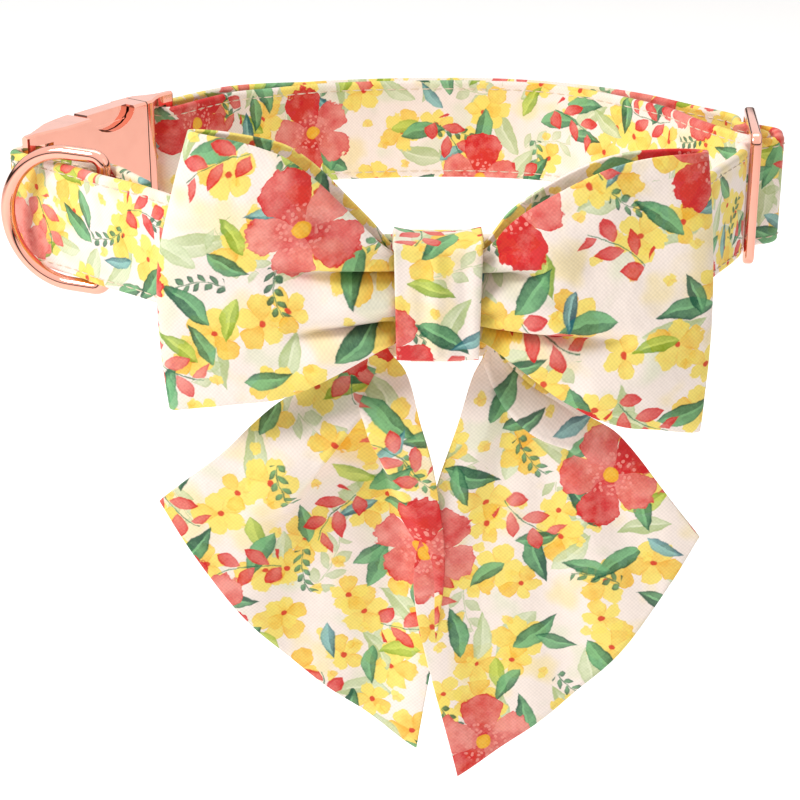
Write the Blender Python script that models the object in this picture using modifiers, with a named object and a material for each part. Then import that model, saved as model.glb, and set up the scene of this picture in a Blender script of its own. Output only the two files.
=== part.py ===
"""A pet collar with a bow tie: a fabric strap with a metal slider, a curved side-release
buckle and a D-ring, and a bow of two loops and two tails gathered in a knot.

The origin is the middle of the neck loop at half the strap's height. +X is the wearer's
left, -Y is the bow's side and +Z is up. All lengths are in metres.
"""

from collections import namedtuple
from math import cos, pi, radians, sin

import bmesh
import bpy
import numpy as np
from mathutils import Matrix

CLEARANCE = 0.0003

# The neck loop in plan
LOOP_HALF_WIDTH = 0.085
LOOP_HALF_DEPTH = 0.065

# Strap
STRAP_WIDTH = 0.025
STRAP_THICKNESS = 0.0022
STRAP_EDGE_ROUND = 0.0006
STRAP_FOLD_BACK = 0.014
PLY_GAP = 0.0006

# Slider
SLIDER_BAR_WIDTH = 0.0031
SLIDER_THICKNESS = 0.0025
SLIDER_SLOT = 0.0093
SLIDER_RAIL = 0.0025
SLIDER_CORNER = 0.0026
SLIDER_EDGE = 0.0005
SLIDER_HEADING = radians(84.4)

# Buckle
BUCKLE_RADIUS = 0.178
BUCKLE_HEADING = radians(65.7)
BUCKLE_RAIL = 0.0027
BUCKLE_THICKNESS = 0.008
BUCKLE_WALL = 0.0014
BUCKLE_BAR = 0.0026
BUCKLE_BAR_THICKNESS = 0.0020
BUCKLE_EDGE = 0.0005
BUCKLE_SLOT = 0.005
BODY_LENGTH = 0.0396
BODY_BACK_WALL = 0.003
INSERT_CROSSPIECE = 0.0028
INSERT_SLOT = 0.006
PRONG_LENGTH = 0.024
PRONG_WIDTH = 0.0045
WINDOW_CENTRE = 0.0277
WINDOW_LENGTH = 0.015
WINDOW_DEPTH = 0.0045

# D-ring
D_WIRE = 0.0031
D_INNER_WIDTH = 0.0266
D_REACH = 0.0232
D_CORNER = 0.0025
D_REST_HEADING = radians(162)
D_TILT = radians(2.5)
D_PLAY = 0.0004

# Bow
BOW_CENTRE_X = 0.0056
BOW_HEIGHT = 0.0555
LOOP_REACH = 0.0515
CLOTH = 0.0012
BOW_DEPTH = 0.012
PLEAT_PITCH = 0.0122
PLEAT_DEPTH = 0.0014
TAIL_LENGTH = 0.0925
TAIL_SPREAD = 0.0548
TAIL_BELLY = 0.035
TAIL_FREEING = 0.014
KNOT_WIDTH = 0.016
KNOT_HEIGHT = 0.0238
KNOT_WALL = 0.0013
KNOT_RISE = 0.0038
KNOT_WAIST = 0.05
KEEPER_WIDTH = 0.010
KEEPER_WALL = 0.0010
KEEPER_PLAY = 0.0005
TAIL_SLACK = 0.0004

Place = namedtuple("Place", "point along out")
PlanRow = namedtuple("PlanRow", "x y part")
LoopRow = namedtuple("LoopRow", "reach top bottom")
PathRow = namedtuple("PathRow", "reach depth")
ReachRow = namedtuple("ReachRow", "height reach")
TailRow = namedtuple("TailRow", "down outer_x outer_z inner_x inner_z")
FoldRow = namedtuple("FoldRow", "across top middle bottom")
BodyRow = namedtuple("BodyRow", "along thickness")

# The strap's line in plan: x and y as shares of the loop's half width and half depth.
# "part" is how far the two plies stand apart there, as a share of their spread round a bar.
SAG_LINE = (
    PlanRow(0.804, 0.355, 0.0),
    PlanRow(0.722, 0.560, 0.0),
)
BACK_LINE = (
    PlanRow(0.655, 0.754, 0.0),
    PlanRow(0.447, 0.915, 0.0),
    PlanRow(0.240, 0.985, 0.0),
    PlanRow(0.000, 0.985, 0.0),
    PlanRow(-0.198, 0.954, 0.0),
    PlanRow(-0.290, 0.922, 0.05),
    PlanRow(-0.400, 0.882, 0.8),
    PlanRow(-0.512, 0.823, 1.0),
)
OUTER_JOIN = PlanRow(0.813, 0.570, 0.0)
FRONT_LINE = (
    PlanRow(0.788, -0.246, 0.0),
    PlanRow(0.685, -0.480, 0.0),
    PlanRow(0.500, -0.750, 0.0),
    PlanRow(0.300, -0.925, 0.0),
    PlanRow(0.165, -1.000, 0.0),
    PlanRow(0.066, -1.000, 0.0),
    PlanRow(-0.029, -1.000, 0.0),
    PlanRow(-0.190, -0.940, 0.0),
    PlanRow(-0.380, -0.790, 0.0),
    PlanRow(-0.540, -0.620, 0.0),
    PlanRow(-0.655, -0.470, 0.0),
)
SLIDER_AT = PlanRow(0.926, 0.195, 0.0)
BUCKLE_AT = PlanRow(-0.988, -0.055, 0.0)
D_BAR_AT = PlanRow(-0.768, -0.277, 0.0)

# The buckle body's thickness from its strap bar to its mouth, as shares of the length
# beyond the bar and of the thickness.
BODY_ROWS = (
    BodyRow(0.00, 0.25),
    BodyRow(0.10, 0.50),
    BodyRow(0.20, 0.80),
    BodyRow(0.35, 0.96),
    BodyRow(0.60, 1.00),
    BodyRow(1.00, 0.94),
)
# The insert's thickness from its crosspiece to its strap bar, in the same way.
INSERT_ROWS = (
    BodyRow(0.00, 0.94),
    BodyRow(0.30, 0.86),
    BodyRow(0.60, 0.45),
    BodyRow(1.00, 0.25),
)

# A bow loop's edges: reach as a share of LOOP_REACH, heights as shares of BOW_HEIGHT.
LEFT_EDGES = (
    LoopRow(0.00, 0.215, -0.078),
    LoopRow(0.17, 0.222, -0.092),
    LoopRow(0.27, 0.300, -0.138),
    LoopRow(0.36, 0.375, -0.184),
    LoopRow(0.46, 0.463, -0.236),
    LoopRow(0.53, 0.516, -0.268),
    LoopRow(0.62, 0.569, -0.291),
    LoopRow(0.70, 0.593, -0.302),
    LoopRow(0.85, 0.622, -0.326),
    LoopRow(1.00, 0.636, -0.358),
)
RIGHT_EDGES = (
    LoopRow(0.00, 0.215, -0.078),
    LoopRow(0.16, 0.228, -0.090),
    LoopRow(0.27, 0.337, -0.146),
    LoopRow(0.36, 0.398, -0.209),
    LoopRow(0.46, 0.455, -0.283),
    LoopRow(0.53, 0.490, -0.321),
    LoopRow(0.62, 0.526, -0.365),
    LoopRow(0.70, 0.546, -0.390),
    LoopRow(0.85, 0.565, -0.413),
    LoopRow(1.00, 0.567, -0.444),
)
# How far the outer fold reaches at each share of the loop's height.
LEFT_FOLD = (
    ReachRow(0.00, 0.994),
    ReachRow(0.30, 1.019),
    ReachRow(0.50, 1.016),
    ReachRow(0.80, 0.945),
    ReachRow(1.00, 0.882),
)
RIGHT_FOLD = (
    ReachRow(0.00, 0.986),
    ReachRow(0.45, 1.002),
    ReachRow(0.70, 0.988),
    ReachRow(1.00, 0.953),
)
# One sheet of cloth runs out from the knot, folds and returns: its way in plan, as shares
# of the reach and of half the bow's depth, with + towards the front.
LOOP_PATH = (
    PathRow(0.03, 0.36),
    PathRow(0.12, 0.37),
    PathRow(0.20, 0.52),
    PathRow(0.30, 0.74),
    PathRow(0.42, 0.88),
    PathRow(0.56, 0.90),
    PathRow(0.70, 0.80),
    PathRow(0.83, 0.62),
    PathRow(0.93, 0.42),
    PathRow(0.985, 0.22),
    PathRow(1.000, 0.00),
    PathRow(0.985, -0.20),
    PathRow(0.93, -0.28),
    PathRow(0.80, -0.32),
    PathRow(0.62, -0.34),
    PathRow(0.42, -0.32),
    PathRow(0.26, -0.24),
    PathRow(0.15, -0.16),
    PathRow(0.03, -0.15),
)

# A tail's outer and inner edges: x as a share of TAIL_SPREAD from the bow's middle, z as a
# share of TAIL_LENGTH below the middle of the knot.
LEFT_TAIL = (
    TailRow(0.00, -0.057, 0.038, -0.057, -0.042),
    TailRow(0.07, -0.148, 0.032, -0.146, -0.043),
    TailRow(0.13, -0.193, -0.016, -0.179, -0.067),
    TailRow(0.20, -0.248, -0.086, -0.168, -0.099),
    TailRow(0.28, -0.349, -0.146, -0.113, -0.136),
    TailRow(0.42, -0.540, -0.205, -0.055, -0.243),
    TailRow(0.62, -0.759, -0.314, 0.007, -0.411),
    TailRow(0.80, -0.887, -0.395, 0.033, -0.616),
    TailRow(1.00, -1.002, -0.470, -0.068, -1.059),
)
RIGHT_TAIL = (
    TailRow(0.00, 0.057, 0.038, 0.057, -0.042),
    TailRow(0.07, 0.148, 0.032, 0.146, -0.043),
    TailRow(0.13, 0.199, -0.016, 0.182, -0.067),
    TailRow(0.20, 0.254, -0.076, 0.172, -0.099),
    TailRow(0.28, 0.354, -0.151, 0.128, -0.151),
    TailRow(0.42, 0.500, -0.227, 0.068, -0.270),
    TailRow(0.62, 0.664, -0.292, -0.011, -0.432),
    TailRow(0.80, 0.810, -0.400, -0.078, -0.649),
    TailRow(1.00, 0.960, -0.520, 0.089, -1.114),
)
# A tail's folds across its width: how far each line stands forward near the knot, halfway
# down and at the cut edge, as shares of BOW_DEPTH.
LEFT_FOLDS = (
    FoldRow(0.00, 0.02, 0.10, 0.02),
    FoldRow(0.22, 0.10, 0.22, 0.06),
    FoldRow(0.40, 0.18, 0.30, 0.10),
    FoldRow(0.50, 0.04, -0.06, 0.04),
    FoldRow(0.62, 0.04, -0.04, -0.04),
    FoldRow(0.76, 0.18, 0.18, 0.02),
    FoldRow(1.00, 0.02, -0.02, -0.06),
)
RIGHT_FOLDS = (
    FoldRow(0.00, 0.02, 0.12, 0.10),
    FoldRow(0.20, 0.16, 0.34, 0.20),
    FoldRow(0.38, 0.20, 0.20, 0.10),
    FoldRow(0.52, 0.05, 0.02, 0.12),
    FoldRow(0.68, 0.10, 0.20, 0.22),
    FoldRow(0.84, 0.16, 0.24, 0.14),
    FoldRow(1.00, 0.02, 0.14, 0.12),
)

# Material colours: name, base colour, metallic, roughness
FABRIC = ("fabric_print", (0.86, 0.74, 0.60, 1.0), 0.0, 0.85)
KNOT_FABRIC = ("knot_print", (0.88, 0.79, 0.66, 1.0), 0.0, 0.85)
ROSE_GOLD = ("rose_gold", (0.83, 0.50, 0.40, 1.0), 1.0, 0.18)


# Helpers for points in plan

def plan(row):
    """A row of a plan table as a point in metres."""
    return np.array([row.x * LOOP_HALF_WIDTH, row.y * LOOP_HALF_DEPTH])


def heading(angle):
    return np.array([cos(angle), sin(angle)])


def right_of(direction):
    return np.array([direction[1], -direction[0]])


def at(place, along, out):
    """The plan point this far along and outwards in a place's own frame."""
    return place.point + place.along * along + place.out * out


def arc_round(place, along_radius, out_radius, first, last, steps):
    """Points on an ellipse round a bar, from the first to the last angle (0 is along)."""
    angles = np.radians(np.linspace(first, last, steps))
    return [at(place, along_radius * cos(a), out_radius * sin(a)) for a in angles]


def smooth_line(points, steps):
    """A centripetal Catmull-Rom curve through the points, with this many steps a span."""
    points = np.asarray(points, float)
    ends = np.vstack([2 * points[0] - points[1], points, 2 * points[-1] - points[-2]])
    gaps = np.sqrt(np.linalg.norm(np.diff(ends, axis=0), axis=1))
    knots = np.concatenate([[0.0], np.cumsum(gaps)])
    line = []
    for i in range(1, len(ends) - 2):
        t = np.linspace(knots[i], knots[i + 1], steps, endpoint=False)[:, None]
        k0, k1, k2, k3 = knots[i - 1:i + 3]
        p0, p1, p2, p3 = ends[i - 1:i + 3]
        a1 = (k1 - t) / (k1 - k0) * p0 + (t - k0) / (k1 - k0) * p1
        a2 = (k2 - t) / (k2 - k1) * p1 + (t - k1) / (k2 - k1) * p2
        a3 = (k3 - t) / (k3 - k2) * p2 + (t - k2) / (k3 - k2) * p3
        b1 = (k2 - t) / (k2 - k0) * a1 + (t - k0) / (k2 - k0) * a2
        b2 = (k3 - t) / (k3 - k1) * a2 + (t - k1) / (k3 - k1) * a3
        line.append((k2 - t) / (k2 - k1) * b1 + (t - k1) / (k2 - k1) * b2)
    return np.vstack(line + [points[-1:]])


def thinned(line, most_turn, most_step):
    """The line's points that a turn or a step of this size needs."""
    steps = np.diff(line, axis=0)
    lengths = np.linalg.norm(steps, axis=1)
    angles = np.unwrap(np.arctan2(steps[:, 1], steps[:, 0]))
    kept = [0]
    for i in range(1, len(line) - 1):
        turn = abs(angles[i] - angles[kept[-1]])
        if turn > most_turn or lengths[kept[-1]:i + 1].sum() > most_step:
            kept.append(i)
    return line[kept + [len(line) - 1]]


def curve_through(rows, column):
    """A function that reads one column of a table smoothly at any value of its first."""
    keys = np.array([row[0] for row in rows])
    values = np.array([getattr(row, column) for row in rows])
    slopes = np.gradient(values, keys)

    def read(key):
        key = np.clip(key, keys[0], keys[-1])
        i = np.clip(np.searchsorted(keys, key, side="right") - 1, 0, len(keys) - 2)
        span = keys[i + 1] - keys[i]
        t = (key - keys[i]) / span
        rise = (2 * t ** 3 - 3 * t ** 2 + 1) * values[i] + (3 * t ** 2 - 2 * t ** 3) * values[i + 1]
        bend = (t ** 3 - 2 * t ** 2 + t) * slopes[i] + (t ** 3 - t ** 2) * slopes[i + 1]
        return rise + span * bend

    return read


# Helpers for objects

def clear_scene():
    for obj in list(bpy.data.objects):
        bpy.data.objects.remove(obj, do_unlink=True)


def new_collection(name):
    collection = bpy.data.collections.new(name)
    bpy.context.scene.collection.children.link(collection)
    return collection


def material(spec):
    """The Principled material of this name, made once."""
    name, colour, metallic, roughness = spec
    found = bpy.data.materials.get(name)
    if found:
        return found
    made = bpy.data.materials.new(name)
    made.use_nodes = True
    made.diffuse_color = colour
    shader = made.node_tree.nodes["Principled BSDF"]
    shader.inputs["Base Color"].default_value = colour
    shader.inputs["Metallic"].default_value = metallic
    shader.inputs["Roughness"].default_value = roughness
    return made


def piece_material(name, spec):
    """Each piece has a material of its own, named for it."""
    return material((f"{name}_{spec[0]}",) + spec[1:])


def new_object(name, mesh, collection, spec=None):
    obj = bpy.data.objects.new(name, mesh)
    collection.objects.link(obj)
    if spec:
        mesh.materials.append(piece_material(name, spec))
    return obj


def as_cutter(obj):
    obj.hide_render = True
    obj.display_type = "WIRE"
    return obj


def mesh_from(name, points, faces):
    """A mesh of these points and faces, with its faces turned outwards."""
    mesh = bpy.data.meshes.new(name)
    mesh.from_pydata([tuple(p) for p in points], [], [tuple(f) for f in faces])
    shape = bmesh.new()
    shape.from_mesh(mesh)
    bmesh.ops.recalc_face_normals(shape, faces=shape.faces)
    shape.to_mesh(mesh)
    shape.free()
    return mesh


def boolean(obj, other, operation):
    modifier = obj.modifiers.new(f"{operation.lower()} {other.name}", "BOOLEAN")
    modifier.operation = operation
    modifier.object = other
    modifier.solver = "EXACT"


def shade(mesh, angle=40):
    mesh.shade_smooth()
    mesh.set_sharp_from_angle(angle=radians(angle))


def plan_sweep(name, places, sections):
    """A closed bar along plan places. Each place has its own closed section of (out, up)."""
    sides = len(sections[0])
    points = []
    for place, section in zip(places, sections):
        for out, up in section:
            x, y = at(place, 0.0, out)
            points.append((x, y, up))
    faces = []
    for i in range(len(places) - 1):
        for k in range(sides):
            a, b = i * sides + k, i * sides + (k + 1) % sides
            faces.append((a, b, b + sides, a + sides))
    last = (len(places) - 1) * sides
    faces.append(tuple(range(sides)))
    faces.append(tuple(last + k for k in range(sides)))
    return mesh_from(name, points, faces)


def rounded_section(half_out, half_up, corner):
    """A rectangle in (out, up) with its four corners cut off at this size."""
    corner_out = min(corner, 0.9 * half_out)
    corner_up = min(corner, 0.9 * half_up)
    return (
        (half_out, half_up - corner_up), (half_out - corner_out, half_up),
        (corner_out - half_out, half_up), (-half_out, half_up - corner_up),
        (-half_out, corner_up - half_up), (corner_out - half_out, -half_up),
        (half_out - corner_out, -half_up), (half_out, corner_up - half_up),
    )


def line_places(line):
    """A place at each point of a plan line, facing along it."""
    steps = np.diff(line, axis=0)
    steps /= np.linalg.norm(steps, axis=1)[:, None]
    before = np.vstack([steps[:1], steps])
    after = np.vstack([steps, steps[-1:]])
    mean = before + after
    mean /= np.linalg.norm(mean, axis=1)[:, None]
    return [Place(p, d, right_of(d)) for p, d in zip(line, mean)]


# Slider

def slider_place():
    along = heading(SLIDER_HEADING)
    return Place(plan(SLIDER_AT), along, right_of(along))


SLIDER_PITCH = SLIDER_BAR_WIDTH + SLIDER_SLOT
SLIDER_HALF_LENGTH = SLIDER_PITCH + SLIDER_BAR_WIDTH / 2
STRAP_HALF_SLOT = STRAP_WIDTH / 2 + CLEARANCE
SLIDER_HALF_HEIGHT = STRAP_HALF_SLOT + SLIDER_RAIL


def rounded_rectangle(curve, centre, half_x, half_y, corner, steps):
    """Adds a closed outline with round corners to a flat curve."""
    spline = curve.splines.new("POLY")
    points = []
    for k, (sign_x, sign_y) in enumerate(((1, 1), (-1, 1), (-1, -1), (1, -1))):
        middle = (centre + sign_x * (half_x - corner), sign_y * (half_y - corner))
        for step in range(steps + 1):
            angle = (k + step / steps) * pi / 2
            points.append((middle[0] + corner * cos(angle), middle[1] + corner * sin(angle)))
    spline.points.add(len(points) - 1)
    for point, (x, y) in zip(spline.points, points):
        point.co = (x, y, 0.0, 1.0)
    spline.use_cyclic_u = True


def mesh_of_curve(name, curve, matrix):
    """The mesh of a flat or bevelled curve, placed in the world, with its caps welded."""
    guide = bpy.data.objects.new(name + "_outline", curve)
    bpy.context.scene.collection.objects.link(guide)
    guide.matrix_world = matrix
    bpy.context.view_layer.update()
    graph = bpy.context.evaluated_depsgraph_get()
    mesh = bpy.data.meshes.new_from_object(guide.evaluated_get(graph))
    mesh.transform(matrix)
    bpy.data.objects.remove(guide)
    shape = bmesh.new()
    shape.from_mesh(mesh)
    bmesh.ops.remove_doubles(shape, verts=shape.verts, dist=1e-6)
    bmesh.ops.recalc_face_normals(shape, faces=shape.faces)
    shape.to_mesh(mesh)
    shape.free()
    mesh.name = name
    mesh.materials.clear()
    return mesh


def plan_matrix(place):
    """Local X runs along the place, local Y up and local Z outwards."""
    along, out = place.along, place.out
    return Matrix((
        (along[0], 0.0, out[0], place.point[0]),
        (along[1], 0.0, out[1], place.point[1]),
        (0.0, 1.0, 0.0, 0.0),
        (0.0, 0.0, 0.0, 1.0),
    ))


def build_slider(parts):
    """A flat frame with three upright bars, cut from one plate."""
    curve = bpy.data.curves.new("slider", "CURVE")
    curve.dimensions = "2D"
    curve.fill_mode = "BOTH"
    curve.bevel_depth = SLIDER_EDGE
    curve.bevel_resolution = 1
    curve.extrude = SLIDER_THICKNESS / 2 - SLIDER_EDGE
    curve.offset = -SLIDER_EDGE
    rounded_rectangle(curve, 0.0, SLIDER_HALF_LENGTH, SLIDER_HALF_HEIGHT, SLIDER_CORNER, 4)
    slot_centre = (SLIDER_BAR_WIDTH + SLIDER_SLOT) / 2
    for sign in (-1, 1):
        rounded_rectangle(curve, sign * slot_centre, SLIDER_SLOT / 2, STRAP_HALF_SLOT,
                          SLIDER_BAR_WIDTH * 0.25, 2)
    mesh = mesh_of_curve("slider", curve, plan_matrix(slider_place()))
    shade(mesh)
    new_object("slider", mesh, parts, ROSE_GOLD)


# Buckle

def buckle_place(along):
    """The place this far along the buckle's arc from the body's strap end."""
    turn = along / BUCKLE_RADIUS
    start = heading(BUCKLE_HEADING)
    inwards = right_of(start)
    centre = plan(BUCKLE_AT) + inwards * BUCKLE_RADIUS
    angle = BUCKLE_HEADING - turn
    direction = heading(angle)
    outwards = -right_of(direction)
    return Place(centre + outwards * BUCKLE_RADIUS, direction, outwards)


BUCKLE_HALF_HEIGHT = STRAP_HALF_SLOT + BUCKLE_RAIL
BODY_SLOT_END = BUCKLE_BAR + BUCKLE_SLOT
CAVITY_HALF = BUCKLE_THICKNESS / 2 * BODY_ROWS[-1].thickness - BUCKLE_WALL
INSERT_START = BODY_LENGTH + CLEARANCE
INSERT_BAR_START = INSERT_START + INSERT_CROSSPIECE + INSERT_SLOT
INSERT_END = INSERT_BAR_START + BUCKLE_BAR
CAVITY_HALF_HEIGHT = BUCKLE_HALF_HEIGHT - BUCKLE_RAIL * 0.8


def bent_block(name, collection, stations, half_up, up=0.0, spec=None):
    """A block that follows the buckle's arc. Each station is (along, half thickness)."""
    places = [buckle_place(along) for along, _ in stations]
    sections = []
    for _, half_out in stations:
        section = rounded_section(half_out, half_up, BUCKLE_EDGE)
        sections.append([(out, rise + up) for out, rise in section])
    return new_object(name, plan_sweep(name, places, sections), collection, spec)


def even_stations(first, last, half_out, steps):
    return [(along, half_out) for along in np.linspace(first, last, steps)]


def table_stations(rows, first, last, steps):
    """Stations whose half thickness follows a table of shares."""
    share = curve_through(rows, "thickness")
    return [(first + (last - first) * step, share(step) * BUCKLE_THICKNESS / 2)
            for step in np.linspace(0.0, 1.0, steps)]


def upright_pin(name, collection, along, up, half_length, half_height, half_out):
    """An oval drum whose axis points outwards through the buckle."""
    mesh = bpy.data.meshes.new(name)
    shape = bmesh.new()
    bmesh.ops.create_cone(shape, cap_ends=True, segments=20, radius1=1.0, radius2=1.0, depth=2.0)
    shape.to_mesh(mesh)
    shape.free()
    size = Matrix.Diagonal((half_length, half_height, half_out, 1.0))
    lift = Matrix.Translation((0.0, 0.0, up))
    mesh.transform(lift @ plan_matrix(buckle_place(along)) @ size)
    if plan_matrix(buckle_place(along)).determinant() < 0:
        mesh.flip_normals()
    return new_object(name, mesh, collection)


def build_body(parts, cutters):
    """A curved sleeve, open at its mouth, with a strap bar at its closed end."""
    bar_half = BUCKLE_BAR_THICKNESS / 2
    stations = [(0.0, bar_half * 0.7), (BUCKLE_EDGE, bar_half)]
    stations += table_stations(BODY_ROWS, BUCKLE_BAR + BUCKLE_EDGE, BODY_LENGTH, 10)
    body = bent_block("buckle_body", parts, stations, BUCKLE_HALF_HEIGHT, spec=ROSE_GOLD)
    slot = bent_block("body_slot_cutter", cutters,
                      even_stations(BUCKLE_BAR, BODY_SLOT_END, BUCKLE_THICKNESS, 3),
                      STRAP_HALF_SLOT)
    cavity = bent_block("body_cavity_cutter", cutters,
                        even_stations(BODY_SLOT_END + BODY_BACK_WALL,
                                      BODY_LENGTH + BUCKLE_WALL, CAVITY_HALF, 8),
                        CAVITY_HALF_HEIGHT)
    for cutter in (slot, cavity):
        boolean(body, as_cutter(cutter), "DIFFERENCE")
    for side, sign in (("top", 1), ("bottom", -1)):
        window = upright_pin(f"window_cutter_{side}", cutters, WINDOW_CENTRE,
                             sign * BUCKLE_HALF_HEIGHT, WINDOW_LENGTH / 2, WINDOW_DEPTH,
                             BUCKLE_THICKNESS)
        boolean(body, as_cutter(window), "DIFFERENCE")
    shade(body.data)


def build_insert(parts, cutters):
    """A strap bar on a crosspiece, whose two prongs run up inside the body. Each prong's
    press tab fills a window in the body's edge."""
    bar_half = BUCKLE_BAR_THICKNESS / 2
    stations = table_stations(INSERT_ROWS, INSERT_START, INSERT_BAR_START - BUCKLE_EDGE, 5)
    stations += [(INSERT_END - BUCKLE_EDGE, bar_half), (INSERT_END, bar_half * 0.7)]
    insert = bent_block("buckle_insert", parts, stations, BUCKLE_HALF_HEIGHT, spec=ROSE_GOLD)
    slot = bent_block("insert_slot_cutter", cutters,
                      even_stations(INSERT_START + INSERT_CROSSPIECE, INSERT_BAR_START,
                                    BUCKLE_THICKNESS, 3), STRAP_HALF_SLOT)
    boolean(insert, as_cutter(slot), "DIFFERENCE")
    prong_half = CAVITY_HALF - CLEARANCE
    prong_up = CAVITY_HALF_HEIGHT - CLEARANCE - PRONG_WIDTH / 2
    for side, sign in (("top", 1), ("bottom", -1)):
        prong = bent_block(f"prong_{side}", cutters,
                           even_stations(INSERT_START - PRONG_LENGTH,
                                         INSERT_START + INSERT_CROSSPIECE / 2, prong_half, 6),
                           PRONG_WIDTH / 2, up=sign * prong_up)
        tab = upright_pin(f"press_tab_{side}", cutters, WINDOW_CENTRE,
                          sign * (BUCKLE_HALF_HEIGHT - CLEARANCE),
                          WINDOW_LENGTH / 2 - CLEARANCE * 2, WINDOW_DEPTH - CLEARANCE,
                          prong_half * 0.96)
        trim = bent_block(f"press_tab_trim_{side}", cutters,
                          even_stations(INSERT_START - PRONG_LENGTH, INSERT_START,
                                        BUCKLE_THICKNESS, 6), WINDOW_DEPTH / 2,
                          up=sign * (BUCKLE_HALF_HEIGHT + WINDOW_DEPTH / 2 + CLEARANCE))
        boolean(tab, as_cutter(trim), "DIFFERENCE")
        for piece in (prong, tab):
            boolean(insert, as_cutter(piece), "UNION")
    shade(insert.data)


# D-ring

def d_ring_place():
    """The D-ring's bar, with "along" where the ring points at rest."""
    along = heading(D_REST_HEADING)
    return Place(plan(D_BAR_AT), along, right_of(along))


def build_d_ring(parts):
    """A wire bent to a D and soldered. Its bar stands on the object's origin, the hinge axis,
    and leans a little in the fold that holds it."""
    half = (D_INNER_WIDTH + D_WIRE) / 2
    leg = D_REACH - half
    points = []
    for step in range(13):
        angle = pi / 2 - pi * step / 12
        points.append((leg + half * cos(angle), half * sin(angle)))
    for sign in (-1, 1):
        first, last = (-pi / 2, -pi) if sign < 0 else (pi, pi / 2)
        for step in range(4):
            angle = first + (last - first) * step / 3
            points.append((D_CORNER + D_CORNER * cos(angle),
                           sign * (half - D_CORNER) + D_CORNER * sin(angle)))
    curve = bpy.data.curves.new("d_ring", "CURVE")
    curve.dimensions = "3D"
    curve.bevel_depth = D_WIRE / 2
    curve.bevel_resolution = 3
    spline = curve.splines.new("POLY")
    spline.points.add(len(points) - 1)
    for point, (along, up) in zip(spline.points, points):
        point.co = (along, up, 0.0, 1.0)
    spline.use_cyclic_u = True
    curve.materials.append(piece_material("d_ring", ROSE_GOLD))
    ring = bpy.data.objects.new("d_ring", curve)
    parts.objects.link(ring)
    ring.matrix_world = plan_matrix(d_ring_place()) @ Matrix.Rotation(D_TILT, 4, "Z")


# Strap

def flat_spread(bar_thickness):
    """How far a ply's middle lies from a bar's middle when it passes over the bar."""
    return bar_thickness / 2 + CLEARANCE + STRAP_THICKNESS / 2


def turn_spread(bar_width, bar_thickness, edge):
    """How far a ply's middle lies from a bar's middle as it turns round the bar's corners."""
    corner = np.hypot(bar_width - edge * 0.6, bar_thickness - edge * 0.6) / 2
    return corner + CLEARANCE + STRAP_THICKNESS / 2


BUCKLE_SPREAD = turn_spread(BUCKLE_BAR, BUCKLE_BAR_THICKNESS, 0.0)
SLIDER_SPREAD = turn_spread(SLIDER_BAR_WIDTH, SLIDER_THICKNESS, SLIDER_EDGE)
PLY_PITCH = STRAP_THICKNESS + PLY_GAP


def offset_row(rows, index, side):
    """A row's plan point moved to the outer (1) or inner (-1) ply."""
    line = np.array([plan(row) for row in rows])
    before, after = max(index - 1, 0), min(index + 1, len(rows) - 1)
    direction = line[after] - line[before]
    direction /= np.linalg.norm(direction)
    closed = PLY_PITCH / 2
    apart = closed + (BUCKLE_SPREAD - closed) * rows[index].part
    return line[index] + right_of(direction) * apart * side


def over_centre_bar(slider):
    """The sliding ply under the far bar, over the centre bar and under the near bar."""
    under = -flat_spread(SLIDER_THICKNESS) - CLEARANCE
    over = SLIDER_SPREAD + PLY_PITCH
    flat = SLIDER_BAR_WIDTH * 0.85
    reach = SLIDER_PITCH - SLIDER_BAR_WIDTH * 0.7
    rise = [(SLIDER_PITCH + flat, under)]
    for share in np.linspace(0.0, 1.0, 7):
        along = reach + (flat - reach) * share
        rise.append((along, under + (over - under) * (1 - cos(pi * share)) / 2))
    falling = [(-along, out) for along, out in reversed(rise)]
    return [at(slider, along, out) for along, out in rise + [(0.0, over)] + falling]


# Under the folded end: the share of the fold back and the drop below the outer ply, in
# plies.
UNDER_PLY = ((0.55, 1.14), (1.0, 1.0))


def strap_line():
    """The strap's middle line in plan, from its end sewn round the slider's centre bar to its
    end sewn down behind the D-ring."""
    slider = slider_place()
    fixed = arc_round(slider, SLIDER_SPREAD, SLIDER_SPREAD, 10, 228, 10)
    inner = [plan(row) for row in SAG_LINE]
    inner += [offset_row(BACK_LINE, i, -1) for i in range(1, len(BACK_LINE))]
    insert_bar = buckle_place(INSERT_END - BUCKLE_BAR / 2)
    spread = BUCKLE_SPREAD
    insert_turn = arc_round(insert_bar, spread, spread, -90, -270, 9)
    outer = [offset_row(BACK_LINE, i, 1) for i in range(len(BACK_LINE) - 1, -1, -1)]
    outer.append(plan(OUTER_JOIN))
    front = [plan(row) for row in FRONT_LINE]
    body_bar = buckle_place(BUCKLE_BAR / 2)
    d_bar = plan(D_BAR_AT)
    towards = body_bar.point - d_bar
    towards /= np.linalg.norm(towards)
    body_end = Place(body_bar.point, towards, -right_of(towards))
    body_turn = arc_round(body_end, spread, spread, 90, -90, 9)
    leaving = front[-1] - d_bar
    leaving /= np.linalg.norm(leaving)
    mean = towards - leaving
    mean /= np.linalg.norm(mean)
    d_end = Place(d_bar, mean, -right_of(mean))
    d_spread = flat_spread(D_WIRE) + D_PLAY
    d_outer = [at(d_end, along, d_spread) for along in (-D_WIRE * 0.7, D_WIRE * 0.7)]
    d_inner = [at(d_end, along, -d_spread) for along in (D_WIRE * 0.7, -D_WIRE * 0.7)]
    fold_end = Place(d_bar, leaving, right_of(leaving))
    under = [at(fold_end, STRAP_FOLD_BACK * share, drop * -PLY_PITCH)
             for share, drop in UNDER_PLY]
    return (fixed + inner + insert_turn + outer + over_centre_bar(slider) + front
            + d_outer + body_turn + d_inner + under)


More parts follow.
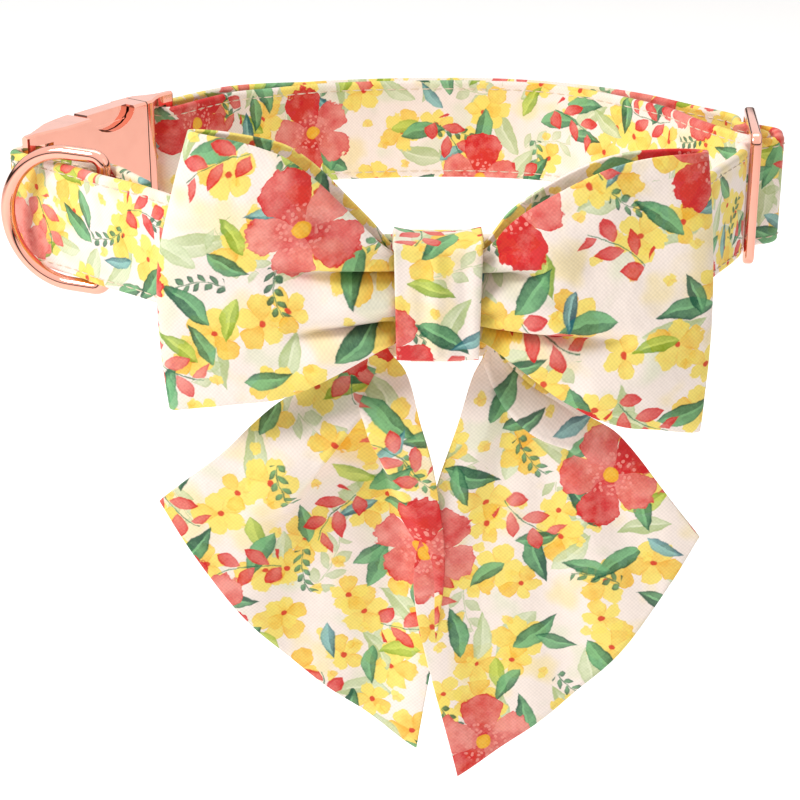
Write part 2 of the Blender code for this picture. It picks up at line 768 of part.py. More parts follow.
def build_strap(parts):
    """One length of cloth-covered webbing with rounded edges."""
    line = thinned(smooth_line(strap_line(), 24), radians(13), STRAP_WIDTH * 0.3)
    section = rounded_section(STRAP_THICKNESS / 2, STRAP_WIDTH / 2, STRAP_EDGE_ROUND)
    places = line_places(line)
    mesh = plan_sweep("strap", places, [section] * len(places))
    shade(mesh, 60)
    new_object("strap", mesh, parts, FABRIC)


# Bow

STRAP_FRONT_Y = FRONT_LINE[5].y * LOOP_HALF_DEPTH - STRAP_THICKNESS / 2
KEEPER_FRONT_Y = STRAP_FRONT_Y - KEEPER_PLAY - KEEPER_WALL
KNOT_BACK_Y = KEEPER_FRONT_Y - CLEARANCE
KNOT_DEPTH = BOW_DEPTH + KNOT_WALL / 2
BOW_MIDDLE_Y = KNOT_BACK_Y - KNOT_DEPTH / 2
TAIL_Y = KNOT_BACK_Y - KNOT_WALL - CLEARANCE - CLOTH / 2 - TAIL_SLACK


def sheet_object(name, grid, wall, collection, spec):
    """An open grid of points given a wall by Solidify."""
    rows, columns = grid.shape[:2]
    index = np.arange(rows * columns).reshape(rows, columns)
    faces = np.stack([index[:-1, :-1], index[:-1, 1:], index[1:, 1:], index[1:, :-1]], axis=-1)
    mesh = bpy.data.meshes.new(name)
    mesh.from_pydata(grid.reshape(-1, 3).tolist(), [], faces.reshape(-1, 4).tolist())
    shade(mesh, 60)
    obj = new_object(name, mesh, collection, spec)
    solid = obj.modifiers.new("wall", "SOLIDIFY")
    solid.thickness = wall
    solid.offset = 0.0
    return obj


def loop_grid(edges, fold, side):
    """A bow loop: the height runs up the second axis, and the first follows LOOP_PATH."""
    way = smooth_line([(row.reach, row.depth) for row in LOOP_PATH], 4)
    keep = np.r_[0:len(way):3, len(way) - 1]
    way = way[np.unique(keep)]
    height = np.linspace(0.0, 1.0, 16)
    t, h = np.meshgrid(way[:, 0], height, indexing="ij")
    depth = np.repeat(way[:, 1:2], len(height), axis=1)
    top = curve_through(edges, "top")(t)
    bottom = curve_through(edges, "bottom")(t)
    z = (bottom + (top - bottom) * h) * BOW_HEIGHT
    x = t * curve_through(fold, "reach")(h) * LOOP_REACH
    from_middle = (z - KNOT_RISE) / PLEAT_PITCH
    near_knot = np.clip(1 - t / 0.55, 0, 1) ** 1.5
    spread = np.exp(-(np.maximum(np.abs(from_middle) - 0.7, 0) / 0.5) ** 2)
    pleat = np.cos(2 * pi * from_middle) * near_knot * spread
    pleat *= np.where(depth > 0, 1.0, 0.35)
    y = BOW_MIDDLE_Y - depth * BOW_DEPTH / 2 - pleat * PLEAT_DEPTH
    return np.stack([BOW_CENTRE_X + side * x, y, z], axis=-1)


def tail_grid(edges, folds, loop_edges, side, forward):
    """A tail: rows run down from the knot to the cut edge, and columns from edge to edge. It
    comes forward only below the loop that it hangs behind."""
    down, across = np.meshgrid(np.linspace(0, 1, 20), np.linspace(0, 1, 17), indexing="ij")
    outer_x = curve_through(edges, "outer_x")(down)
    outer_z = curve_through(edges, "outer_z")(down)
    inner_x = curve_through(edges, "inner_x")(down)
    inner_z = curve_through(edges, "inner_z")(down)
    belly = np.sin(pi * across) * down ** 2 * TAIL_BELLY
    x = (outer_x + (inner_x - outer_x) * across + side * belly) * TAIL_SPREAD
    z = (outer_z + (inner_z - outer_z) * across - belly) * TAIL_LENGTH
    top = curve_through(folds, "top")(across)
    middle = curve_through(folds, "middle")(across)
    bottom = curve_through(folds, "bottom")(across)
    upper = np.clip(down * 2, 0, 1)
    lower = np.clip(down * 2 - 1, 0, 1)
    fold = top + (middle - top) * upper + (bottom - middle) * lower
    loop_bottom = curve_through(loop_edges, "bottom")(np.abs(x) / LOOP_REACH) * BOW_HEIGHT
    free = np.clip((loop_bottom - z) / TAIL_FREEING, 0, 1) ** 1.5
    y = TAIL_Y - (forward + fold * BOW_DEPTH) * free
    return np.stack([BOW_CENTRE_X + x, y, z], axis=-1)


def tube_round_x(name, collection, half_depth, half_height, centre, width, wall, corner, waist,
                 spec):
    """A band of cloth wrapped round the X direction: a rounded outline with a width, drawn
    in at its waist by that share."""
    middle_x, middle_y, middle_z = centre
    outline = []
    for k, (sign_y, sign_z) in enumerate(((1, 1), (-1, 1), (-1, -1), (1, -1))):
        for step in range(4):
            angle = (k + step / 3) * pi / 2
            outline.append((sign_y * (half_depth - corner) + corner * cos(angle),
                            sign_z * (half_height - corner) + corner * sin(angle)))
    outline = np.array(outline)
    stations = np.linspace(-0.5, 0.5, 5)
    points = []
    for station in stations:
        drawn = 1 - waist * (1 - (2 * station) ** 2)
        for y, z in outline:
            points.append((middle_x + station * width, middle_y + y, middle_z + z * drawn))
    count = len(outline)
    faces = []
    for i in range(len(stations) - 1):
        for k in range(count):
            a, b = i * count + k, i * count + (k + 1) % count
            faces.append((a, b, b + count, a + count))
    mesh = mesh_from(name, points, faces)
    shade(mesh, 60)
    obj = new_object(name, mesh, collection, spec)
    solid = obj.modifiers.new("wall", "SOLIDIFY")
    solid.thickness = wall
    solid.offset = -1.0
    return obj


def build_bow(parts):
    """Two loops and two tails held by the knot, with the keeper that rides on the strap."""
    sheet_object("bow_loop_left", loop_grid(LEFT_EDGES, LEFT_FOLD, -1), CLOTH, parts, FABRIC)
    sheet_object("bow_loop_right", loop_grid(RIGHT_EDGES, RIGHT_FOLD, 1), CLOTH, parts, FABRIC)
    step = CLOTH + CLEARANCE
    sheet_object("tail_left", tail_grid(LEFT_TAIL, LEFT_FOLDS, LEFT_EDGES, -1, 0.0), CLOTH, parts, FABRIC)
    sheet_object("tail_right", tail_grid(RIGHT_TAIL, RIGHT_FOLDS, RIGHT_EDGES, 1, step), CLOTH, parts, FABRIC)
    tube_round_x("bow_knot", parts, KNOT_DEPTH / 2, KNOT_HEIGHT / 2,
                 (BOW_CENTRE_X, BOW_MIDDLE_Y, KNOT_RISE), KNOT_WIDTH, KNOT_WALL,
                 BOW_DEPTH * 0.25, KNOT_WAIST, KNOT_FABRIC)
    keeper_half = STRAP_THICKNESS / 2 + KEEPER_PLAY + KEEPER_WALL
    keeper_half_height = STRAP_WIDTH / 2 + KEEPER_PLAY + KEEPER_WALL
    strap_y = STRAP_FRONT_Y + STRAP_THICKNESS / 2
    tube_round_x("bow_keeper", parts, keeper_half, keeper_half_height,
                 (BOW_CENTRE_X, strap_y, 0.0), KEEPER_WIDTH, KEEPER_WALL,
                 KEEPER_WALL * 1.2, 0.0, FABRIC)


def main():
    clear_scene()
    parts = new_collection("pet_bow_tie_collar")
    cutters = new_collection("cutters")
    build_strap(parts)
    build_slider(parts)
    build_body(parts, cutters)
    build_insert(parts, cutters)
    build_d_ring(parts)
    build_bow(parts)


main()
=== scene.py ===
"""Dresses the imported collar: printed cotton on the strap and the bow, stitching, polished
rose gold fittings, and a plain pale stage.

Run as a script in Blender. The frame is loaded first, every piece rides on one of its
bodies, and all lengths are in metres.
"""

from collections import namedtuple
from math import cos, pi, radians, sin

import bmesh
import bpy
import numpy as np
from bpy.props import FloatProperty, FloatVectorProperty, PointerProperty
from mathutils import Matrix, Vector


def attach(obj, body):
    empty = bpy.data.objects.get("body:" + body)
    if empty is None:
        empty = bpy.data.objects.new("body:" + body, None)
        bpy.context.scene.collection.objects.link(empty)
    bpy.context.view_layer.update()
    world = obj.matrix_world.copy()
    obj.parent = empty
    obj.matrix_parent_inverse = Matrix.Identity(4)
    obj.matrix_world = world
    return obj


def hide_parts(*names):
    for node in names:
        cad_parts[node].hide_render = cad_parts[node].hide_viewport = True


bl_info = {
    "name": "Pet bow tie collar",
    "version": (1, 0, 0),
    "blender": (4, 5, 0),
    "location": "3D View > Sidebar > Collar",
    "description": "Printed cotton, stitching and polished fittings for the packed collar",
    "category": "Object",
}

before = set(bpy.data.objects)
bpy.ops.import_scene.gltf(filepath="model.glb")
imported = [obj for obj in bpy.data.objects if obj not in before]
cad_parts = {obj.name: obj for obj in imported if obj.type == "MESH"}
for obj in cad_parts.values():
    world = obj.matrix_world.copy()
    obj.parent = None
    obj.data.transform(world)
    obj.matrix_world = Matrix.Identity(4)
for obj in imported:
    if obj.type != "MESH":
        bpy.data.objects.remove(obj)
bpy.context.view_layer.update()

LOOP_HALF_WIDTH = 0.085
LOOP_HALF_DEPTH = 0.065
CLEARANCE = 0.0003

Place = namedtuple("Place", "point along out")
PlanRow = namedtuple("PlanRow", "x y part")
LoopRow = namedtuple("LoopRow", "reach top bottom")
PathRow = namedtuple("PathRow", "reach depth")
ReachRow = namedtuple("ReachRow", "height reach")
TailRow = namedtuple("TailRow", "down outer_x outer_z inner_x inner_z")
FlapRow = namedtuple("FlapRow", "down edge rise soft lap")
Crease = namedtuple("Crease", "x0 z0 x1 z1 width depth")
Motif = namedtuple("Motif", "shape spacing seed length width bend kept deep light strength")


def linear(code):
    """A colour code such as F7CF3F as linear values."""
    parts = [int(code[i:i + 2], 16) / 255 for i in (0, 2, 4)]
    return tuple(p / 12.92 if p <= 0.04045 else ((p + 0.055) / 1.055) ** 2.4 for p in parts)


# Settings that the sidebar shows

def length(name, description, default):
    return FloatProperty(name=name, description=description, default=default,
                         subtype="DISTANCE", unit="LENGTH", precision=4)


def colour(name, description, code):
    return FloatVectorProperty(name=name, description=description, default=linear(code),
                               subtype="COLOR", size=3, min=0.0, max=1.0)


class CollarStrapSettings(bpy.types.PropertyGroup):
    width: length("Width", "Width of the strap", 0.025)
    thickness: length("Thickness", "Thickness of the webbing with its cotton cover", 0.0022)
    seam_inset: length("Seam inset", "From the strap's edge to its stitching", 0.0019)
    stitch_pitch: length("Stitch pitch", "From one stitch to the next", 0.0029)
    thread: length("Thread", "Width of the sewing thread", 0.00032)


class CollarBowSettings(bpy.types.PropertyGroup):
    height: length("Height", "Height of a loop's flat cloth", 0.0555)
    reach: length("Reach", "From the middle of the bow to a loop's fold", 0.0515)
    depth: length("Depth", "Depth of the bow from front to back", 0.012)
    cloth: length("Cloth", "Thickness of the doubled cotton", 0.0012)
    pleat_pitch: length("Pleat pitch", "From one gathered pleat to the next", 0.0122)
    pleat_depth: length("Pleat depth", "Depth of the pleats at the knot", 0.0014)
    tail_length: length("Tail length", "From the knot to the lowest point of a tail", 0.0925)
    tail_spread: length("Tail spread", "From the bow's middle to a tail's outer point", 0.0548)


class CollarPrintSettings(bpy.types.PropertyGroup):
    ground: colour("Ground", "Unprinted cotton", "FFF0E6")
    coral_deep: colour("Deep coral", "Loaded brush strokes of the poppies and buds", "DC2227")
    coral_light: colour("Light coral", "Thin washes of the poppies and buds", "F79C90")
    yellow_deep: colour("Deep yellow", "Loaded strokes of the small blossoms", "F8B52E")
    yellow_light: colour("Light yellow", "Thin washes of the small blossoms", "FFE670")
    leaf_deep: colour("Deep leaf green", "Loaded strokes of the leaves", "12583E")
    leaf_light: colour("Light leaf green", "Thin washes of the leaves", "7DBD83")
    teal_deep: colour("Deep teal", "Loaded strokes of the blue leaves", "1C6672")
    teal_light: colour("Light teal", "Thin washes of the blue leaves", "8EC4BF")
    lime_deep: colour("Deep lime", "Loaded strokes of the young leaves", "7FA31F")
    lime_light: colour("Light lime", "Thin washes of the young leaves", "CBDB62")
    sage_deep: colour("Deep sage", "Loaded strokes of the pale leaves", "B2C582")
    sage_light: colour("Light sage", "Thin washes of the pale leaves", "E0E8C2")
    thread_pitch: length("Thread pitch", "From one thread of the cotton to the next", 0.00042)


class CollarMetalSettings(bpy.types.PropertyGroup):
    gold: colour("Rose gold", "Plated metal", "F0AC98")
    roughness: FloatProperty(name="Roughness", description="Roughness of the polished plating",
                             default=0.05, min=0.0, max=1.0, subtype="FACTOR")
    ring_wire: length("Ring wire", "Diameter of the D-ring's wire", 0.0031)


class CollarStageSettings(bpy.types.PropertyGroup):
    floor_level: length("Floor level", "Height of the floor below the strap's middle", -0.165)
    floor: colour("Floor", "Plain pale floor", "FDFCFB")
    key: FloatProperty(name="Key light", description="Power of the large soft light",
                       default=11.0, min=0.0, unit="POWER")
    fill: FloatProperty(name="Fill light", description="Power of the light on the other side",
                        default=0.6, min=0.0, unit="POWER")


# Curves in plan, the same as the solids' own

def plan(row):
    """A row of a plan table as a point in metres."""
    return np.array([row.x * LOOP_HALF_WIDTH, row.y * LOOP_HALF_DEPTH])


def heading(angle):
    return np.array([cos(angle), sin(angle)])


def right_of(direction):
    return np.array([direction[1], -direction[0]])


def at(place, along, out):
    """The plan point this far along and outwards in a place's own frame."""
    return place.point + place.along * along + place.out * out


def arc_round(place, radius, first, last, steps):
    """Points on a circle round a bar, from the first to the last angle (0 is along)."""
    angles = np.radians(np.linspace(first, last, steps))
    return [at(place, radius * cos(a), radius * sin(a)) for a in angles]


def smooth_line(points, steps):
    """A centripetal Catmull-Rom curve: each span is a blend of the lines through its four
    nearest points, weighted by the square roots of the gaps between them."""
    points = np.asarray(points, float)
    ends = np.vstack([2 * points[0] - points[1], points, 2 * points[-1] - points[-2]])
    gaps = np.sqrt(np.linalg.norm(np.diff(ends, axis=0), axis=1))
    knots = np.concatenate([[0.0], np.cumsum(gaps)])
    line = []
    for i in range(1, len(ends) - 2):
        t = np.linspace(knots[i], knots[i + 1], steps, endpoint=False)[:, None]
        k0, k1, k2, k3 = knots[i - 1:i + 3]
        p0, p1, p2, p3 = ends[i - 1:i + 3]
        a1 = (k1 - t) / (k1 - k0) * p0 + (t - k0) / (k1 - k0) * p1
        a2 = (k2 - t) / (k2 - k1) * p1 + (t - k1) / (k2 - k1) * p2
        a3 = (k3 - t) / (k3 - k2) * p2 + (t - k2) / (k3 - k2) * p3
        b1 = (k2 - t) / (k2 - k0) * a1 + (t - k0) / (k2 - k0) * a2
        b2 = (k3 - t) / (k3 - k1) * a2 + (t - k1) / (k3 - k1) * a3
        line.append((k2 - t) / (k2 - k1) * b1 + (t - k1) / (k2 - k1) * b2)
    return np.vstack(line + [points[-1:]])


def arc_length(line):
    """How far each point of a line lies along it."""
    steps = np.linalg.norm(np.diff(line, axis=0), axis=1)
    return np.concatenate([[0.0], np.cumsum(steps)])


def resampled(line, pitch):
    """The line again, with points at an even pitch."""
    reach = arc_length(line)
    count = int(reach[-1] / pitch) + 1
    wanted = np.linspace(0.0, reach[-1], count)
    return np.stack([np.interp(wanted, reach, line[:, k]) for k in range(line.shape[1])], -1)


def curve_through(rows, column):
    """A function that reads one column of a table smoothly at any value of its first: a cubic
    between two rows whose slopes are the mean of their neighbours'."""
    keys = np.array([row[0] for row in rows])
    values = np.array([getattr(row, column) for row in rows])
    slopes = np.gradient(values, keys)

    def read(key):
        key = np.clip(key, keys[0], keys[-1])
        i = np.clip(np.searchsorted(keys, key, side="right") - 1, 0, len(keys) - 2)
        span = keys[i + 1] - keys[i]
        t = (key - keys[i]) / span
        rise = (2 * t ** 3 - 3 * t ** 2 + 1) * values[i] + (3 * t ** 2 - 2 * t ** 3) * values[i + 1]
        bend = (t ** 3 - 2 * t ** 2 + t) * slopes[i] + (t ** 3 - t ** 2) * slopes[i + 1]
        return rise + span * bend

    return read


def eased(value, low, high):
    """0 below low, 1 above high and a smooth S between, as 3 t squared less 2 t cubed."""
    t = np.clip((value - low) / (high - low), 0.0, 1.0)
    return t * t * (3 - 2 * t)


def turns(line):
    """The direction of a line at each of its points."""
    steps = np.diff(line, axis=0)
    steps /= np.linalg.norm(steps, axis=1)[:, None]
    mean = np.vstack([steps[:1], steps]) + np.vstack([steps, steps[-1:]])
    return mean / np.linalg.norm(mean, axis=1)[:, None]


# Meshes

def surface_mesh(name, grid, uv, wrap=False, caps=False):
    """A grid of points as quads. With wrap the columns close on themselves, and with caps the
    first and last rows are closed. uv has one more column than a wrapped grid."""
    rows, columns = grid.shape[:2]
    index = np.arange(rows * columns).reshape(rows, columns)
    i, k = np.meshgrid(np.arange(rows - 1), np.arange(columns if wrap else columns - 1),
                       indexing="ij")
    corner_rows = np.stack([i, i, i + 1, i + 1], -1).reshape(-1, 4)
    corner_columns = np.stack([k, k + 1, k + 1, k], -1).reshape(-1, 4)
    faces = index[corner_rows, corner_columns % columns].tolist()
    corners = uv[corner_rows, corner_columns].reshape(-1, 2)
    if caps:
        faces += [index[0].tolist(), index[-1].tolist()]
        corners = np.vstack([corners, uv[0, :columns], uv[-1, :columns]])
    mesh = bpy.data.meshes.new(name)
    mesh.from_pydata(grid.reshape(-1, 3).tolist(), [], faces)
    layer = mesh.uv_layers.new(name="cloth")
    layer.data.foreach_set("uv", corners.astype(np.float32).ravel())
    return mesh


def turned_outwards(mesh):
    """A closed mesh with its faces turned outwards."""
    shape = bmesh.new()
    shape.from_mesh(mesh)
    bmesh.ops.recalc_face_normals(shape, faces=shape.faces)
    shape.to_mesh(mesh)
    shape.free()
    return mesh


def add_piece(name, mesh, material, body="collar"):
    """Links a finished mesh as a piece that rides on a body and takes a slot's finish."""
    mesh.shade_smooth()
    mesh.materials.clear()
    mesh.materials.append(material)
    piece = bpy.data.objects.new(name, mesh)
    bpy.context.scene.collection.objects.link(piece)
    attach(piece, body)
    return piece


def wall(piece, thickness, offset=0.0):
    solid = piece.modifiers.new("wall", "SOLIDIFY")
    solid.thickness = thickness
    solid.offset = offset


def rounded(piece, levels=1):
    smooth = piece.modifiers.new("rounded", "SUBSURF")
    smooth.levels = levels
    smooth.render_levels = levels


# Node groups

class Formula:
    """Adds nodes to a tree: each method adds one node, feeds it and returns its output."""

    def __init__(self, tree):
        self.tree = tree

    def feed(self, socket, value):
        if isinstance(value, bpy.types.NodeSocket):
            self.tree.links.new(value, socket)
        else:
            socket.default_value = value

    def node(self, kind, values, **settings):
        made = self.tree.nodes.new(kind)
        for key, value in settings.items():
            setattr(made, key, value)
        for key, value in values.items():
            self.feed(made.inputs[key], value)
        return made

    def math(self, operation, *values):
        return self.node("ShaderNodeMath", dict(enumerate(values)), operation=operation).outputs[0]

    def vector(self, operation, *values):
        return self.node("ShaderNodeVectorMath", dict(enumerate(values)),
                         operation=operation).outputs[0]

    def scaled(self, vector, scale):
        return self.node("ShaderNodeVectorMath", {0: vector, "Scale": scale},
                         operation="SCALE").outputs[0]

    def split(self, vector):
        return self.node("ShaderNodeSeparateXYZ", {0: vector}).outputs

    def joined(self, x, y, z=0.0):
        return self.node("ShaderNodeCombineXYZ", {0: x, 1: y, 2: z}).outputs[0]

    def fade(self, value, low, high):
        """0 at low and 1 at high, eased; low may be the larger."""
        return self.node("ShaderNodeMapRange", {"Value": value, "From Min": low, "From Max": high},
                         interpolation_type="SMOOTHSTEP").outputs["Result"]

    def noise(self, vector, scale, detail=2.0, rough=0.5, output="Fac"):
        made = self.node("ShaderNodeTexNoise", {"Vector": vector, "Scale": scale, "Detail": detail,
                                                "Roughness": rough})
        return made.outputs[output]

    def mix(self, share, first, second, blend="MIX"):
        made = self.node("ShaderNodeMix", {0: share, 6: first, 7: second}, data_type="RGBA",
                         blend_type=blend)
        return made.outputs[2]

    def group(self, tree, **values):
        made = self.tree.nodes.new("ShaderNodeGroup")
        made.node_tree = tree
        for key, value in values.items():
            self.feed(made.inputs[key.replace("_", " ").capitalize()], value)
        return made.outputs


KINDS = {"F": "NodeSocketFloat", "V": "NodeSocketVector", "C": "NodeSocketColor"}


def new_group(name, inputs, outputs):
    """An empty shader group with these sockets: (tree, formula, its inputs, its outputs)."""
    tree = bpy.data.node_groups.new(name, "ShaderNodeTree")
    for label, kind, value in inputs:
        socket = tree.interface.new_socket(name=label, in_out="INPUT", socket_type=KINDS[kind])
        socket.default_value = value
    for label, kind in outputs:
        tree.interface.new_socket(name=label, in_out="OUTPUT", socket_type=KINDS[kind])
    start = tree.nodes.new("NodeGroupInput")
    end = tree.nodes.new("NodeGroupOutput")
    return tree, Formula(tree), start.outputs, end.inputs


def scatter_group():
    """One motif to a cell: the place in the motif's own turned frame, in millimetres, and two
    chances that stay the same over the cell."""
    tree, f, given, put = new_group(
        "motif scatter",
        [("Cloth", "V", (0, 0, 0)), ("Spacing", "F", 20.0), ("Looseness", "F", 0.6),
         ("Seed", "F", 0.0)],
        [("Local", "V"), ("Chance", "F"), ("Shade", "F")])
    away = f.joined(f.math("MULTIPLY", given["Seed"], 37.3), f.math("MULTIPLY", given["Seed"], 61.7))
    spun = f.node("ShaderNodeVectorRotate", {"Vector": given["Cloth"],
                                             "Angle": f.math("MULTIPLY", given["Seed"], 0.37)},
                  rotation_type="Z_AXIS").outputs[0]
    moved = f.vector("ADD", spun, away)
    cells = f.node("ShaderNodeTexVoronoi",
                   {"Vector": moved, "Scale": f.math("DIVIDE", 1.0, given["Spacing"]),
                    "Randomness": given["Looseness"]},
                   voronoi_dimensions="2D", feature="F1").outputs
    chances = f.split(cells["Color"])
    offset = f.vector("SUBTRACT", moved, cells["Position"])
    turned = f.node("ShaderNodeVectorRotate",
                    {"Vector": offset, "Angle": f.math("MULTIPLY", chances[0], 2 * pi)},
                    rotation_type="Z_AXIS").outputs[0]
    f.feed(put["Local"], turned)
    f.feed(put["Chance"], chances[1])
    f.feed(put["Shade"], chances[2])
    return tree


def leaf_group():
    """A pointed leaf along X: half its width falls off as 1 - t squared towards both tips, and
    it bends as t squared. Inside is how far within the edge a place lies, in millimetres."""
    tree, f, given, put = new_group(
        "painted leaf",
        [("Local", "V", (0, 0, 0)), ("Length", "F", 11.0), ("Width", "F", 4.5), ("Bend", "F", 0.8)],
        [("Inside", "F"), ("Tone", "F"), ("Vein", "F")])
    x, y, _ = f.split(given["Local"])
    t = f.math("DIVIDE", x, f.math("MULTIPLY", given["Length"], 0.5))
    t = f.math("MAXIMUM", f.math("MINIMUM", t, 1.6), -1.6)
    square = f.math("MULTIPLY", t, t)
    lifted = f.math("SUBTRACT", y, f.math("MULTIPLY", given["Bend"], f.math("SUBTRACT", square, 0.4)))
    taper = f.math("MULTIPLY", f.math("SUBTRACT", 1.0, square),
                   f.math("SUBTRACT", 0.5, f.math("MULTIPLY", t, 0.17)))
    half = f.math("MULTIPLY", given["Width"], taper)
    aside = f.math("ABSOLUTE", lifted)
    f.feed(put["Inside"], f.math("SUBTRACT", half, aside))
    side = f.fade(lifted, -0.35, 0.35)
    along = f.math("MULTIPLY_ADD", t, 0.25, 0.25)
    f.feed(put["Tone"], f.math("ADD", f.math("MULTIPLY", side, 0.45), along))
    thin = f.math("MULTIPLY", f.fade(aside, 0.32, 0.08), f.fade(t, 0.75, 0.2))
    f.feed(put["Vein"], f.math("MULTIPLY", thin, f.fade(t, -0.9, -0.5)))
    return tree


def blossom_group():
    """An open flower: the edge's radius swings with the cosine of the petals' angle. Seam is 1
    between two petals, and Petal is a chance of each petal's own."""
    tree, f, given, put = new_group(
        "painted blossom",
        [("Local", "V", (0, 0, 0)), ("Radius", "F", 5.5), ("Petals", "F", 5.0),
         ("Split", "F", 0.34)],
        [("Inside", "F"), ("Reach", "F"), ("Seam", "F"), ("Petal", "F")])
    x, y, _ = f.split(given["Local"])
    radius = f.node("ShaderNodeVectorMath", {0: given["Local"]}, operation="LENGTH").outputs["Value"]
    angle = f.math("ARCTAN2", y, x)
    swing = f.math("ABSOLUTE", f.math("COSINE", f.math("MULTIPLY", angle,
                                                         f.math("MULTIPLY", given["Petals"], 0.5))))
    share = f.math("POWER", swing, 0.55)
    dip = f.math("MULTIPLY", given["Split"], f.math("SUBTRACT", 1.0, share))
    number = f.math("ROUND", f.math("MULTIPLY", angle,
                                      f.math("MULTIPLY", given["Petals"], 0.5 / pi)))
    own = f.node("ShaderNodeTexWhiteNoise", {"W": number}, noise_dimensions="1D").outputs["Value"]
    size = f.math("MULTIPLY_ADD", own, 0.22, 0.84)
    edge = f.math("MULTIPLY", f.math("MULTIPLY", given["Radius"], size), f.math("SUBTRACT", 1.0, dip))
    reach = f.math("DIVIDE", radius, given["Radius"])
    f.feed(put["Inside"], f.math("SUBTRACT", edge, radius))
    f.feed(put["Reach"], reach)
    f.feed(put["Seam"], f.math("MULTIPLY", f.fade(swing, 0.42, 0.04), f.fade(reach, 0.15, 0.4)))
    f.feed(put["Petal"], own)
    return tree


def sprig_group():
    """A stem along X with leaflets on both sides: X is folded to one pitch and Y to one side,
    the two sides half a pitch apart, and each leaflet is a small leaf that leans forward."""
    tree, f, given, put = new_group(
        "painted sprig",
        [("Local", "V", (0, 0, 0)), ("Length", "F", 12.0), ("Pitch", "F", 2.4),
         ("Width", "F", 1.1), ("Bend", "F", 1.0)],
        [("Inside", "F"), ("Stem", "F"), ("Tone", "F")])
    x, y, _ = f.split(given["Local"])
    t = f.math("DIVIDE", x, f.math("MULTIPLY", given["Length"], 0.5))
    lifted = f.math("SUBTRACT", y, f.math("MULTIPLY", given["Bend"], f.math("MULTIPLY", t, t)))
    upper = f.math("GREATER_THAN", lifted, 0.0)
    shifted = f.math("ADD", x, f.math("MULTIPLY", f.math("MULTIPLY", given["Pitch"], 0.5), upper))
    folded = f.math("SUBTRACT", f.math("FLOORED_MODULO", shifted, given["Pitch"]),
                    f.math("MULTIPLY", given["Pitch"], 0.5))
    aside = f.math("ABSOLUTE", lifted)
    lean = radians(42)
    back = f.math("SUBTRACT", folded, f.math("MULTIPLY", given["Pitch"], -0.30))
    along = f.math("ADD", f.math("MULTIPLY", back, cos(lean)), f.math("MULTIPLY", aside, sin(lean)))
    across = f.math("SUBTRACT", f.math("MULTIPLY", aside, cos(lean)), f.math("MULTIPLY", back, sin(lean)))
    half = f.math("MULTIPLY", given["Pitch"], 0.52)
    s = f.math("DIVIDE", f.math("SUBTRACT", along, f.math("MULTIPLY", half, 1.12)), half)
    s = f.math("MAXIMUM", f.math("MINIMUM", s, 1.6), -1.6)
    belly = f.math("MULTIPLY", f.math("SUBTRACT", 1.0, f.math("MULTIPLY", s, s)),
                   f.math("MULTIPLY", given["Width"], 0.5))
    ends = f.math("SUBTRACT", f.math("MULTIPLY", given["Length"], 0.5), f.math("ABSOLUTE", x))
    inside = f.math("SUBTRACT", belly, f.math("ABSOLUTE", across))
    f.feed(put["Inside"], f.math("MINIMUM", inside, ends))
    f.feed(put["Stem"], f.math("MINIMUM", f.math("SUBTRACT", 0.2, aside), ends))
    f.feed(put["Tone"], f.math("MULTIPLY_ADD", s, 0.3, 0.35))
    return tree


def paint_group():
    """A watercolour stroke over what is under it: thin where the load is low, deeper at the
    stroke's edge where the pigment dries, and broken by the grain. Rim is how much deeper."""
    tree, f, given, put = new_group(
        "watercolour stroke",
        [("Under", "C", (1, 1, 1, 1)), ("Deep", "C", (0, 0, 0, 1)), ("Light", "C", (1, 1, 1, 1)),
         ("Inside", "F", 0.0), ("Tone", "F", 0.5), ("Grain", "F", 0.5), ("Strength", "F", 1.0),
         ("Rim", "F", 0.3)],
        [("Color", "C")])
    away = f.math("SUBTRACT", given["Grain"], 0.5)
    wet = f.math("MULTIPLY_ADD", away, 0.5, given["Inside"])
    mask = f.math("MULTIPLY", f.fade(wet, -0.06, 0.24), given["Strength"])
    rim = f.math("MULTIPLY", f.fade(given["Inside"], 0.75, 0.1), given["Rim"])
    load = f.math("ADD", f.math("MULTIPLY_ADD", away, 1.5, given["Tone"]), rim)
    load = f.math("MINIMUM", f.math("MAXIMUM", load, 0.0), 1.0)
    pigment = f.mix(load, given["Light"], given["Deep"])
    f.feed(put["Color"], f.mix(mask, given["Under"], pigment))
    return tree


